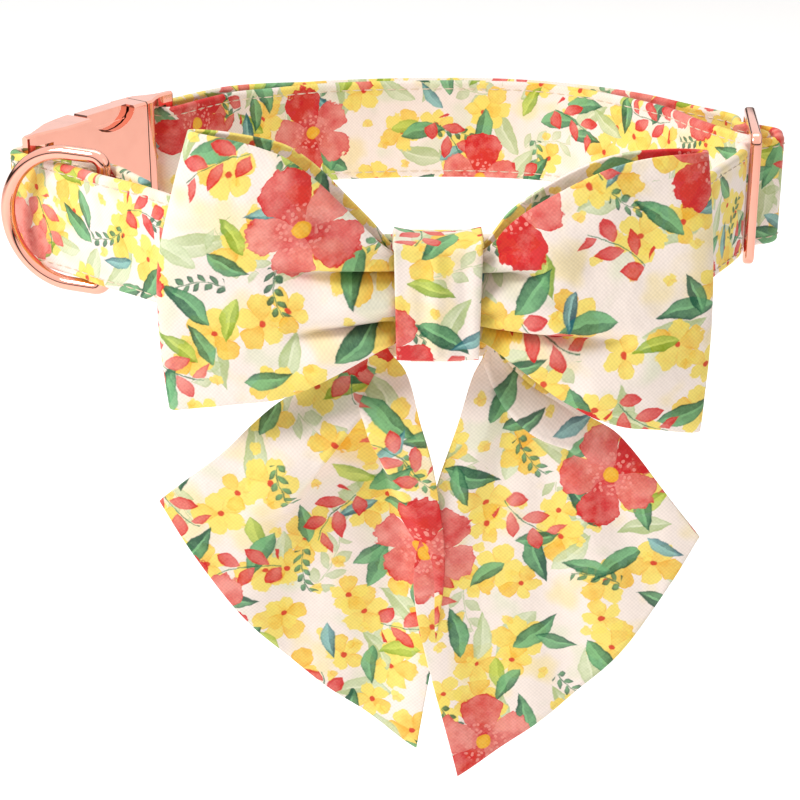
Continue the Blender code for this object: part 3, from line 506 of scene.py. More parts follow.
# The print: each row is one layer of motifs, painted in this order. Spacing, length and width
# are in millimetres, and kept is the share of the cells that have their motif.
PRINT_LAYERS = (
    Motif("leaf", 21.0, 1.0, 13.5, 4.8, 1.0, 0.80, "sage_deep", "sage_light", 0.85),
    Motif("sprig", 24.0, 2.0, 13.0, 2.4, 1.2, 0.70, "sage_deep", "sage_light", 0.75),
    Motif("blossom", 15.5, 3.0, 5.9, 5.0, 0.40, 0.90, "yellow_deep", "yellow_light", 0.95),
    Motif("leaf", 19.0, 4.0, 11.5, 4.0, 0.8, 0.75, "sage_deep", "sage_light", 0.9),
    Motif("blossom", 14.0, 5.0, 4.6, 5.0, 0.46, 0.80, "yellow_deep", "yellow_light", 0.95),
    Motif("dab", 7.0, 6.0, 1.5, 3.0, 0.30, 0.38, "yellow_deep", "yellow_light", 0.9),
    Motif("leaf", 21.0, 7.0, 9.5, 3.4, 0.6, 0.70, "lime_deep", "lime_light", 0.9),
    Motif("sprig", 25.0, 8.0, 10.0, 1.3, 1.0, 0.70, "leaf_deep", "leaf_light", 0.9),
    Motif("leaf", 18.0, 9.0, 12.0, 4.4, 0.8, 0.72, "leaf_deep", "leaf_light", 0.95),
    Motif("leaf", 17.0, 10.0, 9.5, 3.5, 0.6, 0.62, "leaf_deep", "leaf_light", 0.92),
    Motif("leaf", 27.0, 13.0, 9.0, 2.9, 0.6, 0.70, "teal_deep", "teal_light", 0.92),
    Motif("bud", 24.0, 11.0, 13.0, 3.0, 1.2, 0.70, "coral_deep", "coral_light", 0.95),
    Motif("poppy", 44.0, 12.0, 11.6, 5.0, 0.30, 1.00, "coral_deep", "coral_light", 0.97),
)


# Where each piece's own map starts on the printed cloth, in metres
PRINT_AT = {
    "strap": np.array([0.31, 0.17]), "loop_left": np.array([0.083, 0.041]),
    "loop_right": np.array([0.212, 0.093]), "tail_left": np.array([0.377, 0.291]),
    "tail_right": np.array([0.541, 0.379]), "knot": np.array([0.66, 0.505]),
    "keeper": np.array([0.7, 0.61]),
}


def inputs_of_print():
    """The print's colours: the name of each setting and of the group's input that takes it."""
    colours = [("ground", "Ground")]
    for name in ("coral", "yellow", "leaf", "teal", "lime", "sage"):
        colours += [(f"{name}_deep", f"{name.capitalize()} deep"),
                    (f"{name}_light", f"{name.capitalize()} light")]
    return colours


def print_group():
    """The floral print on a place of the cloth: the place is warped a little so that strokes
    wander, faint washes go down first, and then each layer is painted over the last."""
    scatter, leaf, blossom, sprig, paint = (scatter_group(), leaf_group(), blossom_group(),
                                            sprig_group(), paint_group())
    colours = inputs_of_print()
    tree, f, given, put = new_group(
        "floral print",
        [("Cloth", "V", (0, 0, 0))] + [(label, "C", (1, 1, 1, 1)) for _, label in colours],
        [("Color", "C")])
    hue = {name: given[label] for name, label in colours}
    place = f.scaled(given["Cloth"], 1000.0)
    drift = f.vector("SUBTRACT", f.noise(place, 0.28, 1.0, output="Color"), (0.5, 0.5, 0.5))
    shiver = f.vector("SUBTRACT", f.noise(place, 1.3, 2.0, output="Color"), (0.5, 0.5, 0.5))
    warped = f.vector("ADD", f.vector("ADD", place, f.scaled(drift, 1.1)), f.scaled(shiver, 0.32))
    grain = f.math("ADD", f.math("MULTIPLY", f.noise(place, 0.42, 3.0, 0.6), 0.7),
                   f.math("MULTIPLY", f.noise(place, 2.6, 2.0, 0.6), 0.3))
    wash = f.noise(place, 0.075, 2.0)
    ruffle = f.math("MULTIPLY", f.math("SUBTRACT", f.noise(place, 0.55, 2.0), 0.5), 3.0)
    flood = f.math("SUBTRACT", f.noise(place, 0.20, 2.0), 0.55)
    cloth = f.mix(f.math("MULTIPLY", f.fade(wash, 0.53, 0.68), 0.42), hue["ground"], hue["yellow_light"])
    cloth = f.mix(f.math("MULTIPLY", f.fade(wash, 0.47, 0.32), 0.50), cloth, hue["sage_light"])
    for row in PRINT_LAYERS:
        spots = f.group(scatter, cloth=warped, spacing=row.spacing,
                        looseness=0.35 if row.shape == "poppy" else 0.62, seed=row.seed)
        kept = f.math("LESS_THAN", spots["Chance"], row.kept)
        strength = f.math("MULTIPLY", kept, row.strength)
        shade = f.math("MULTIPLY_ADD", spots["Shade"], 0.5, -0.25)
        deep, light = hue[row.deep], hue[row.light]
        if row.shape == "leaf":
            shape = f.group(leaf, local=spots["Local"], length=row.length, width=row.width,
                            bend=row.bend)
            tone = f.math("ADD", shape["Tone"], shade)
            veined = f.math("SUBTRACT", tone, f.math("MULTIPLY", shape["Vein"], 1.1))
            cloth = f.group(paint, under=cloth, deep=deep, light=light, inside=shape["Inside"],
                            tone=veined, grain=grain, strength=strength)["Color"]
        elif row.shape in ("sprig", "bud"):
            pitch = row.length / 2.3 if row.shape == "bud" else row.width * 1.75
            shape = f.group(sprig, local=spots["Local"], length=row.length, pitch=pitch,
                            width=row.width, bend=row.bend)
            stem_deep = hue["leaf_deep"] if row.shape == "bud" else deep
            stem_light = hue["leaf_light"] if row.shape == "bud" else light
            cloth = f.group(paint, under=cloth, deep=stem_deep, light=stem_light,
                            inside=shape["Stem"], tone=0.4, grain=grain,
                            strength=strength)["Color"]
            cloth = f.group(paint, under=cloth, deep=deep, light=light, inside=shape["Inside"],
                            tone=f.math("ADD", f.math("ADD", shape["Tone"], shade), 0.15),
                            grain=grain, strength=strength)["Color"]
        else:
            shape = f.group(blossom, local=spots["Local"], radius=row.length, petals=row.width,
                            split=row.bend)
            heart = f.fade(shape["Reach"], 0.75, 0.05)
            base = 0.38 if row.shape == "poppy" else -0.20
            tone = f.math("ADD", f.math("MULTIPLY_ADD", shape["Petal"], 0.7, base),
                          f.math("ADD", f.math("MULTIPLY", heart, 0.3), shade))
            inside = shape["Inside"]
            if row.shape == "poppy":
                parted = f.math("MULTIPLY_ADD", shape["Seam"], -1.7, inside)
                inside = f.math("ADD", parted, ruffle)
                tone = f.math("ADD", tone, f.math("MULTIPLY", flood, 1.6))
            else:
                inside = f.math("MULTIPLY_ADD", ruffle, 0.75, inside)
                tone = f.math("ADD", tone, f.math("MULTIPLY", flood, 1.1))
                tone = f.math("ADD", tone, f.math("MULTIPLY", shape["Seam"], 0.35))
            cloth = f.group(paint, under=cloth, deep=deep, light=light, inside=inside,
                            tone=tone, grain=grain, strength=strength,
                            rim=0.35 if row.shape == "poppy" else 0.06)["Color"]
            if row.shape == "poppy":
                cloth = poppy_heart(f, cloth, spots["Local"], shape, strength, hue, paint, grain)
            elif row.shape == "blossom":
                dot = f.math("SUBTRACT", 0.72, f.math("MULTIPLY", shape["Reach"], row.length))
                cloth = f.group(paint, under=cloth, deep=hue["coral_deep"], light=hue["coral_deep"],
                                inside=dot, tone=1.0, grain=grain,
                                strength=f.math("MULTIPLY", strength, 0.95))["Color"]
    f.feed(put["Color"], cloth)
    return tree


def poppy_heart(f, cloth, local, shape, strength, hue, paint, grain):
    """Pale flecks round the middle of a poppy and a golden boss in it."""
    flecks = f.node("ShaderNodeTexVoronoi", {"Vector": local, "Scale": 0.85, "Randomness": 0.9},
                    voronoi_dimensions="2D", feature="F1").outputs["Distance"]
    ring = f.math("MULTIPLY", f.fade(shape["Reach"], 0.46, 0.38), f.fade(shape["Reach"], 0.16, 0.22))
    marks = f.math("MULTIPLY", f.math("MULTIPLY", f.fade(flecks, 0.34, 0.24), ring), strength)
    cloth = f.mix(f.math("MULTIPLY", marks, 0.9), cloth, hue["coral_light"])
    boss = f.math("SUBTRACT", 1.7, f.math("MULTIPLY", shape["Reach"], 11.8))
    cloth = f.group(paint, under=cloth, deep=hue["yellow_deep"], light=hue["yellow_light"],
                    inside=boss, tone=0.8, grain=grain, strength=strength)["Color"]
    return cloth


def weave_group():
    """Plain weave: the product of a sine along the cloth and one across it, which stands in
    checks on the diagonal, with slubs where a slow noise thickens the threads."""
    tree, f, given, put = new_group(
        "cotton weave", [("Cloth", "V", (0, 0, 0)), ("Pitch", "F", 0.0004)],
        [("Height", "F"), ("Tone", "F")])
    u, v, _ = f.split(given["Cloth"])
    a, b = (f.math("SINE", f.math("MULTIPLY", f.math("DIVIDE", way, given["Pitch"]), pi)) for way in (u, v))
    threads = f.math("MULTIPLY_ADD", f.math("MULTIPLY", a, b), 0.5, 0.5)
    slubs = f.noise(given["Cloth"], 1400.0, 2.0)
    f.feed(put["Height"], f.math("ADD", f.math("MULTIPLY", threads, 0.7), f.math("MULTIPLY", slubs, 0.6)))
    f.feed(put["Tone"], f.math("MULTIPLY_ADD", threads, 0.11, 0.89))
    return tree


def scuff_group():
    """Fine hairlines and faint smudges on polished plating, worked out in the object's place."""
    tree, f, given, put = new_group(
        "handled plating", [("Place", "V", (0, 0, 0)), ("Polish", "F", 0.1)],
        [("Roughness", "F"), ("Height", "F"), ("Tone", "F")])
    smudge = f.noise(given["Place"], 260.0, 3.0)
    stretched = f.vector("MULTIPLY", given["Place"], (1.0, 1.0, 0.12))
    hair = f.noise(stretched, 9000.0, 2.0)
    duller = f.math("MULTIPLY", f.fade(smudge, 0.45, 0.75), 0.07)
    f.feed(put["Roughness"], f.math("ADD", given["Polish"], duller))
    f.feed(put["Height"], hair)
    f.feed(put["Tone"], f.fade(smudge, 0.3, 0.8))
    return tree


# Materials

def shared(name, build):
    """The node group of this name, built once."""
    return bpy.data.node_groups.get(name) or build()


def new_material(name):
    made = bpy.data.materials.new(name)
    made.use_nodes = True
    return made, Formula(made.node_tree), made.node_tree.nodes["Principled BSDF"]


def printed_cotton(name):
    """Printed cotton whose pattern follows the piece's own map, with its weave and soft puckers
    as fine relief."""
    made, f, shader = new_material(name)
    settings = bpy.context.scene.collar_print
    cloth = f.node("ShaderNodeUVMap", {}, uv_map="cloth").outputs[0]
    hues = {}
    for key, label in inputs_of_print():
        hues[label.replace(" ", "_").lower()] = tuple(getattr(settings, key)) + (1.0,)
    colours = f.group(shared("floral print", print_group), cloth=cloth, **hues)["Color"]
    weave = f.group(shared("cotton weave", weave_group), cloth=cloth, pitch=settings.thread_pitch)
    tone = f.node("ShaderNodeCombineColor", {0: weave["Tone"], 1: weave["Tone"], 2: weave["Tone"]}).outputs[0]
    f.feed(shader.inputs["Base Color"], f.mix(1.0, colours, tone, "MULTIPLY"))
    puckers = f.noise(cloth, 140.0, 3.0, 0.55)
    height = f.math("ADD", f.math("MULTIPLY", weave["Height"], 0.00006), f.math("MULTIPLY", puckers, 0.0011))
    bump = f.node("ShaderNodeBump", {"Height": height, "Strength": 0.6, "Distance": 1.0}).outputs[0]
    f.feed(shader.inputs["Normal"], bump)
    shader.inputs["Roughness"].default_value = 0.88
    shader.inputs["Specular IOR Level"].default_value = 0.25
    shader.inputs["Sheen Weight"].default_value = 0.12
    return made


def sewing_thread(name):
    """Matt cream thread with a fine twist across it."""
    made, f, shader = new_material(name)
    place = f.node("ShaderNodeTexCoord", {}).outputs["Object"]
    twist = f.noise(place, 5200.0, 2.0)
    low = linear("DFCBB0") + (1.0,)
    high = linear("F0E0CA") + (1.0,)
    f.feed(shader.inputs["Base Color"], f.mix(f.fade(twist, 0.35, 0.65), low, high))
    bump = f.node("ShaderNodeBump", {"Height": twist, "Strength": 0.4, "Distance": 0.00008}).outputs[0]
    f.feed(shader.inputs["Normal"], bump)
    shader.inputs["Roughness"].default_value = 0.7
    return made


def rose_gold(name):
    """Polished rose gold plating, a little duller where it is handled."""
    made, f, shader = new_material(name)
    settings = bpy.context.scene.collar_metal
    place = f.node("ShaderNodeTexCoord", {}).outputs["Object"]
    plating = f.group(shared("handled plating", scuff_group), place=place, polish=settings.roughness)
    gold = tuple(settings.gold) + (1.0,)
    worn = tuple(0.95 * part for part in settings.gold) + (1.0,)
    f.feed(shader.inputs["Base Color"], f.mix(plating["Tone"], gold, worn))
    f.feed(shader.inputs["Roughness"], plating["Roughness"])
    bump = f.node("ShaderNodeBump", {"Height": plating["Height"], "Strength": 0.12,
                                     "Distance": 0.00002}).outputs[0]
    f.feed(shader.inputs["Normal"], bump)
    shader.inputs["Metallic"].default_value = 1.0
    return made


def pale_floor(name):
    """Matt paper that glows a little, so that it stays near white to its far edge."""
    made, f, shader = new_material(name)
    settings = bpy.context.scene.collar_stage
    place = f.node("ShaderNodeTexCoord", {}).outputs["Object"]
    cloudy = f.noise(place, 3.0, 2.0)
    base = tuple(settings.floor) + (1.0,)
    lower = tuple(0.985 * part for part in settings.floor) + (1.0,)
    f.feed(shader.inputs["Base Color"], f.mix(cloudy, base, lower))
    shader.inputs["Roughness"].default_value = 0.8
    shader.inputs["Emission Color"].default_value = (1.0, 1.0, 1.0, 1.0)
    shader.inputs["Emission Strength"].default_value = 0.45
    return made


# The strap's route in plan, as the solids have it

SLIDER_BAR_WIDTH = 0.0031
SLIDER_THICKNESS = 0.0025
SLIDER_SLOT = 0.0093
SLIDER_RAIL = 0.0025
SLIDER_CORNER = 0.0026
SLIDER_EDGE = 0.0005
SLIDER_HEADING = radians(84.4)
SLIDER_AT = PlanRow(0.926, 0.195, 0.0)
BUCKLE_RADIUS = 0.178
BUCKLE_HEADING = radians(65.7)
BUCKLE_BAR = 0.0026
BUCKLE_BAR_THICKNESS = 0.0020
BUCKLE_AT = PlanRow(-0.988, -0.055, 0.0)
INSERT_BAR_MIDDLE = 0.0500
D_BAR_AT = PlanRow(-0.768, -0.277, 0.0)
D_INNER_WIDTH = 0.0266
D_REACH = 0.0232
D_CORNER = 0.0025
D_REST_HEADING = radians(162)
D_TILT = radians(2.5)
D_PLAY = 0.0004
PLY_GAP = 0.0006
STRAP_FOLD_BACK = 0.014
STRAP_EDGE = 0.0011
STRAP_POINT_PITCH = 0.00085
D_WIRE = 0.0031
D_SEAT = 0.0022
# Where the two rows of stitches cross the fold behind the D-ring
FOLD_STITCHES_X = (-0.0602, -0.0570)
# Under the folded end: the share of the fold back and the drop below the outer ply, in plies
UNDER_PLY = ((0.55, 1.14), (1.0, 1.0))

SAG_LINE = (PlanRow(0.804, 0.355, 0.0), PlanRow(0.722, 0.560, 0.0))
BACK_LINE = (
    PlanRow(0.655, 0.754, 0.0), PlanRow(0.447, 0.915, 0.0), PlanRow(0.240, 0.985, 0.0),
    PlanRow(0.000, 0.985, 0.0), PlanRow(-0.198, 0.954, 0.0), PlanRow(-0.290, 0.922, 0.05),
    PlanRow(-0.400, 0.882, 0.8), PlanRow(-0.512, 0.823, 1.0),
)
OUTER_JOIN = PlanRow(0.813, 0.570, 0.0)
FRONT_LINE = (
    PlanRow(0.788, -0.246, 0.0), PlanRow(0.685, -0.480, 0.0), PlanRow(0.500, -0.750, 0.0),
    PlanRow(0.300, -0.925, 0.0), PlanRow(0.165, -1.000, 0.0), PlanRow(0.066, -1.000, 0.0),
    PlanRow(-0.029, -1.000, 0.0), PlanRow(-0.190, -0.940, 0.0), PlanRow(-0.380, -0.790, 0.0),
    PlanRow(-0.540, -0.620, 0.0), PlanRow(-0.655, -0.470, 0.0),
)


def flat_spread(bar_thickness, thickness):
    """How far a ply's middle lies from a bar's middle when it passes over the bar."""
    return bar_thickness / 2 + CLEARANCE + thickness / 2


def turn_spread(bar_width, bar_thickness, edge, thickness):
    """How far a ply's middle lies from a bar's middle as it turns round the bar's corners."""
    corner = np.hypot(bar_width - edge * 0.6, bar_thickness - edge * 0.6) / 2
    return corner + CLEARANCE + thickness / 2


def buckle_place(along):
    """The place this far along the buckle's arc from the body's strap end."""
    centre = plan(BUCKLE_AT) + right_of(heading(BUCKLE_HEADING)) * BUCKLE_RADIUS
    direction = heading(BUCKLE_HEADING - along / BUCKLE_RADIUS)
    outwards = -right_of(direction)
    return Place(centre + outwards * BUCKLE_RADIUS, direction, outwards)


def slider_place():
    along = heading(SLIDER_HEADING)
    return Place(plan(SLIDER_AT), along, right_of(along))


def d_ring_place():
    """The D-ring's bar, with "along" where the ring points at rest."""
    along = heading(D_REST_HEADING)
    return Place(plan(D_BAR_AT), along, right_of(along))


def plan_matrix(place):
    """Local X runs along the place, local Y up and local Z outwards."""
    along, out = place.along, place.out
    return Matrix((
        (along[0], 0.0, out[0], place.point[0]),
        (along[1], 0.0, out[1], place.point[1]),
        (0.0, 1.0, 0.0, 0.0),
        (0.0, 0.0, 0.0, 1.0),
    ))


def offset_row(index, side, spread, ply_pitch):
    """A back row's plan point moved to the outer (1) or inner (-1) ply."""
    line = np.array([plan(row) for row in BACK_LINE])
    before, after = max(index - 1, 0), min(index + 1, len(line) - 1)
    direction = line[after] - line[before]
    direction /= np.linalg.norm(direction)
    closed = ply_pitch / 2
    apart = closed + (spread - closed) * BACK_LINE[index].part
    return line[index] + right_of(direction) * apart * side


def over_centre_bar(slider, thickness, spread, ply_pitch):
    """The sliding ply under the far bar, over the centre bar and under the near bar."""
    slider_pitch = SLIDER_BAR_WIDTH + SLIDER_SLOT
    under = -flat_spread(SLIDER_THICKNESS, thickness) - CLEARANCE
    over = spread + ply_pitch
    flat = SLIDER_BAR_WIDTH * 0.85
    reach = slider_pitch - SLIDER_BAR_WIDTH * 0.7
    rise = [(slider_pitch + flat, under)]
    for share in np.linspace(0.0, 1.0, 7):
        along = reach + (flat - reach) * share
        rise.append((along, under + (over - under) * (1 - cos(pi * share)) / 2))
    falling = [(-along, out) for along, out in reversed(rise)]
    return [at(slider, along, out) for along, out in rise + [(0.0, over)] + falling]


def strap_line(thickness):
    """The strap's middle line in plan, from its end sewn round the slider's centre bar to its
    end sewn down behind the D-ring."""
    slider = slider_place()
    ply_pitch = thickness + PLY_GAP
    round_slider = turn_spread(SLIDER_BAR_WIDTH, SLIDER_THICKNESS, SLIDER_EDGE, thickness)
    round_buckle = turn_spread(BUCKLE_BAR, BUCKLE_BAR_THICKNESS, 0.0, thickness)
    last = len(BACK_LINE)
    points = arc_round(slider, round_slider, 10, 228, 10)
    points += [plan(row) for row in SAG_LINE]
    points += [offset_row(i, -1, round_buckle, ply_pitch) for i in range(1, last)]
    points += arc_round(buckle_place(INSERT_BAR_MIDDLE), round_buckle, -90, -270, 9)
    points += [offset_row(i, 1, round_buckle, ply_pitch) for i in range(last - 1, -1, -1)]
    points.append(plan(OUTER_JOIN))
    points += over_centre_bar(slider, thickness, round_slider, ply_pitch)
    points += [plan(row) for row in FRONT_LINE]
    body_bar = buckle_place(BUCKLE_BAR / 2)
    d_bar = plan(D_BAR_AT)
    towards = body_bar.point - d_bar
    towards /= np.linalg.norm(towards)
    leaving = points[-1] - d_bar
    leaving /= np.linalg.norm(leaving)
    mean = towards - leaving
    mean /= np.linalg.norm(mean)
    d_end = Place(d_bar, mean, -right_of(mean))
    beside = flat_spread(D_WIRE, thickness) + D_PLAY
    points += [at(d_end, along, beside) for along in (-D_SEAT, D_SEAT)]
    points += arc_round(Place(body_bar.point, towards, -right_of(towards)), round_buckle, 90, -90, 9)
    points += [at(d_end, along, -beside) for along in (D_SEAT, -D_SEAT)]
    fold_end = Place(d_bar, leaving, right_of(leaving))
    points += [at(fold_end, STRAP_FOLD_BACK * share, drop * -ply_pitch)
               for share, drop in UNDER_PLY]
    return smooth_line(points, 24)


def strap_grid(line, width, thickness, inset):
    """The strap's surface. Its section is a pillow: half the thickness where it is flat, round
    at both edges as the square root of 1 - t squared, with a shallow valley at each seam."""
    half = width / 2
    rim = np.linspace(0.0, pi / 2, 7)
    edge = STRAP_EDGE
    heights = np.concatenate([half - edge * (1 - np.sin(rim)), np.linspace(half - edge, 0, 13)[1:-1]])
    heights = np.unique(np.round(np.concatenate([heights, -heights, [0.0]]), 7))
    near_edge = np.clip((np.abs(heights) - (half - edge)) / edge, 0.0, 1.0)
    pillow = np.sqrt(1 - near_edge ** 2)
    pillow -= 0.10 * np.exp(-((np.abs(heights) - (half - inset)) / 0.0006) ** 2)
    up = np.concatenate([heights[::-1], heights[1:-1]])
    out = np.concatenate([pillow[::-1], -pillow[1:-1]]) * thickness / 2
    direction = turns(line)
    outwards = np.stack([direction[:, 1], -direction[:, 0]], -1)
    xy = line[:, None, :] + outwards[:, None, :] * out[None, :, None]
    z = np.broadcast_to(up, xy.shape[:2])
    grid = np.dstack([xy, z])
    along = np.repeat(arc_length(line)[:, None], len(up) + 1, axis=1)
    uv = np.dstack([along, np.broadcast_to(np.append(up, up[0]), along.shape)])
    return grid, uv


def thread_line(name, points, directions, lifts, size, thread):
    """A run of stitches as one mesh. Each is a bead of six sides and five rings: the rings'
    half width follows the sine of the way along, and its ends dive into the cloth."""
    ring = np.linspace(0.0, 1.0, 5)
    swell = 0.35 + 0.65 * np.sin(pi * ring)
    dive = -0.8 * (1 - np.sin(pi * ring))
    corner = np.radians(np.arange(0, 360, 60))
    side = np.cross(directions, lifts)
    core = (points[:, None] + directions[:, None] * ((ring - 0.5) * size)[None, :, None]
            + lifts[:, None] * (dive * thread / 2)[None, :, None])
    around = (side[:, None, None] * np.cos(corner)[None, None, :, None]
              + lifts[:, None, None] * np.sin(corner)[None, None, :, None])
    grid = core[:, :, None] + around * (swell * thread / 2)[None, :, None, None]
    count, rings, sides = grid.shape[:3]
    index = np.arange(count * rings * sides).reshape(count, rings, sides)
    after = np.roll(index, -1, axis=2)
    quads = np.stack([index[:, :-1], after[:, :-1], after[:, 1:], index[:, 1:]], -1).reshape(-1, 4)
    caps = np.concatenate([index[:, 0, ::-1], index[:, -1]]).tolist()
    mesh = bpy.data.meshes.new(name)
    mesh.from_pydata(grid.reshape(-1, 3).tolist(), [], quads.tolist() + caps)
    return turned_outwards(mesh)


def strap_stitches(line, settings):
    """Where the strap's stitches lie, their directions and which way each stands out: both
    faces of both edges, and two rows across the fold behind the D-ring."""
    half = settings.width / 2 - settings.seam_inset
    sewn = resampled(line, settings.stitch_pitch)[2:-2]
    direction = turns(sewn)
    outwards = np.stack([direction[:, 1], -direction[:, 0]], -1)
    spots, ways, lifts = [], [], []
    for face in (1, -1):
        for height in (half, -half):
            xy = sewn + outwards * face * (settings.thickness / 2 + settings.thread * 0.1)
            spots.append(np.column_stack([xy, np.full(len(xy), height)]))
            ways.append(np.column_stack([direction, np.zeros(len(xy))]))
            lifts.append(np.column_stack([outwards * face, np.zeros(len(xy))]))
    rows = np.arange(-half, half + 1e-6, settings.stitch_pitch)
    for x in FOLD_STITCHES_X:
        front = sewn[:, 1] < -0.02
        i = np.argmin(np.abs(sewn[:, 0] - x) + np.where(front, 0.0, 1.0))
        xy = sewn[i] + outwards[i] * (settings.thickness / 2 + settings.thread * 0.1)
        spots.append(np.column_stack([np.tile(xy, (len(rows), 1)), rows]))
        ways.append(np.tile([0.0, 0.0, 1.0], (len(rows), 1)))
        lifts.append(np.tile([outwards[i, 0], outwards[i, 1], 0.0], (len(rows), 1)))
    return np.vstack(spots), np.vstack(ways), np.vstack(lifts)


class COLLAR_OT_strap(bpy.types.Operator):
    """Sews the cotton-covered strap along the neck loop"""
    bl_idname = "collar.strap"
    bl_label = "Strap and its stitching"

    def execute(self, context):
        settings = context.scene.collar_strap
        line = resampled(strap_line(settings.thickness), STRAP_POINT_PITCH)
        grid, uv = strap_grid(line, settings.width, settings.thickness, settings.seam_inset)
        uv = uv + PRINT_AT["strap"]
        mesh = turned_outwards(surface_mesh("strap_cotton", grid, uv, wrap=True, caps=True))
        strap = add_piece("strap_cotton", mesh, printed_cotton("strap_print"))
        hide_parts("strap")
        points, ways, lifts = strap_stitches(line, settings)
        stitches = thread_line("strap_stitches", points, ways, lifts,
                               settings.stitch_pitch * 0.78, settings.thread)
        add_piece("strap_stitches", stitches, sewing_thread("strap_thread"))
        return {"FINISHED"}


# The bow

BOW_CENTRE_X = 0.0056
STRAP_WIDTH = 0.025
STRAP_THICKNESS = 0.0022
STRAP_FRONT_Y = -0.0661
KEEPER_WIDTH = 0.010
KEEPER_WALL = 0.0010
KEEPER_PLAY = 0.0005
KEEPER_CLOTH = 0.0004
KEEPER_SLACK = 0.0001
KNOT_WALL = 0.0013
KNOT_WIDTH = 0.016
KNOT_HEIGHT = 0.0238
KNOT_RISE = 0.0038
KNOT_SQUARING = 0.27
KNOT_BACK_Y = STRAP_FRONT_Y - KEEPER_PLAY - KEEPER_WALL - CLEARANCE
TAIL_BELLY = 0.058
TAIL_FREEING = 0.020
TAIL_SLACK = 0.0004

LEFT_EDGES = (
    LoopRow(0.00, 0.215, -0.078), LoopRow(0.17, 0.222, -0.092), LoopRow(0.27, 0.300, -0.138),
    LoopRow(0.36, 0.375, -0.184), LoopRow(0.46, 0.463, -0.236), LoopRow(0.53, 0.516, -0.268),
    LoopRow(0.62, 0.569, -0.291), LoopRow(0.70, 0.593, -0.302), LoopRow(0.85, 0.622, -0.326),
    LoopRow(1.00, 0.636, -0.358),
)
RIGHT_EDGES = (
    LoopRow(0.00, 0.215, -0.078), LoopRow(0.16, 0.228, -0.090), LoopRow(0.27, 0.337, -0.146),
    LoopRow(0.36, 0.398, -0.209), LoopRow(0.46, 0.455, -0.283), LoopRow(0.53, 0.490, -0.321),
    LoopRow(0.62, 0.526, -0.365), LoopRow(0.70, 0.546, -0.390), LoopRow(0.85, 0.565, -0.413),
    LoopRow(1.00, 0.567, -0.444),
)
LEFT_FOLD = (
    ReachRow(0.00, 0.994), ReachRow(0.30, 1.019), ReachRow(0.50, 1.016), ReachRow(0.80, 0.945),
    ReachRow(1.00, 0.882),
)
RIGHT_FOLD = (
    ReachRow(0.00, 0.986), ReachRow(0.45, 1.002), ReachRow(0.70, 0.988), ReachRow(1.00, 0.953),
)
LOOP_PATH = (
    PathRow(0.03, 0.36), PathRow(0.12, 0.37), PathRow(0.20, 0.52), PathRow(0.30, 0.74),
    PathRow(0.42, 0.88), PathRow(0.56, 0.90), PathRow(0.70, 0.80), PathRow(0.83, 0.62),
    PathRow(0.93, 0.42), PathRow(0.985, 0.22), PathRow(1.000, 0.00), PathRow(0.985, -0.20),
    PathRow(0.93, -0.28), PathRow(0.80, -0.32), PathRow(0.62, -0.34), PathRow(0.42, -0.32),
    PathRow(0.26, -0.24), PathRow(0.15, -0.16), PathRow(0.03, -0.15),
)
# How far the rear ply shows above the front's top edge and below its lower one
LEFT_REAR = (0.016, 0.045)
RIGHT_REAR = (0.012, 0.010)
# Creases of a loop's front, from one point to another as shares of reach and bow height: how
# wide and how deep each is at its start, + for a fold that stands forward
LEFT_CREASES = (
    Crease(0.15, 0.150, 0.62, 0.172, 0.0013, -0.0035), Crease(0.16, 0.185, 0.55, 0.235, 0.0016, 0.0019),
    Crease(0.17, -0.030, 0.56, -0.062, 0.0013, -0.0036), Crease(0.16, -0.070, 0.50, -0.120, 0.0015, 0.0018),
    Crease(0.16, 0.060, 0.42, 0.070, 0.0026, 0.0022), Crease(0.50, -0.200, 0.95, -0.060, 0.0045, -0.0014),
    Crease(0.45, 0.330, 0.90, 0.420, 0.0045, 0.0014),
)
RIGHT_CREASES = (
    Crease(0.15, 0.140, 0.36, 0.158, 0.0013, -0.0035), Crease(0.16, 0.180, 0.50, 0.240, 0.0018, 0.0018),
    Crease(0.15, -0.048, 0.74, -0.085, 0.0012, -0.0038), Crease(0.17, -0.012, 0.60, -0.020, 0.0018, 0.0019),
    Crease(0.18, 0.065, 0.46, 0.070, 0.0026, 0.0017), Crease(0.55, -0.260, 0.95, -0.150, 0.0045, 0.0014),
    Crease(0.50, 0.200, 0.95, 0.330, 0.0050, -0.0014),
)

LEFT_TAIL = (
    TailRow(0.00, -0.057, 0.038, -0.057, -0.042), TailRow(0.07, -0.148, 0.032, -0.146, -0.043),
    TailRow(0.13, -0.193, -0.016, -0.179, -0.067), TailRow(0.20, -0.248, -0.086, -0.168, -0.099),
    TailRow(0.28, -0.349, -0.146, -0.113, -0.136), TailRow(0.42, -0.540, -0.205, -0.055, -0.243),
    TailRow(0.62, -0.759, -0.314, 0.007, -0.411), TailRow(0.80, -0.887, -0.380, 0.033, -0.616),
    TailRow(1.00, -1.000, -0.442, -0.066, -1.042),
)
RIGHT_TAIL = (
    TailRow(0.00, 0.057, 0.038, 0.057, -0.042), TailRow(0.07, 0.148, 0.032, 0.146, -0.043),
    TailRow(0.13, 0.199, -0.016, 0.182, -0.067), TailRow(0.20, 0.254, -0.076, 0.172, -0.099),
    TailRow(0.28, 0.354, -0.151, 0.128, -0.151), TailRow(0.42, 0.500, -0.227, 0.068, -0.270),
    TailRow(0.62, 0.664, -0.292, -0.011, -0.432), TailRow(0.80, 0.810, -0.400, -0.078, -0.649),
    TailRow(1.00, 0.960, -0.520, 0.089, -1.114),
)
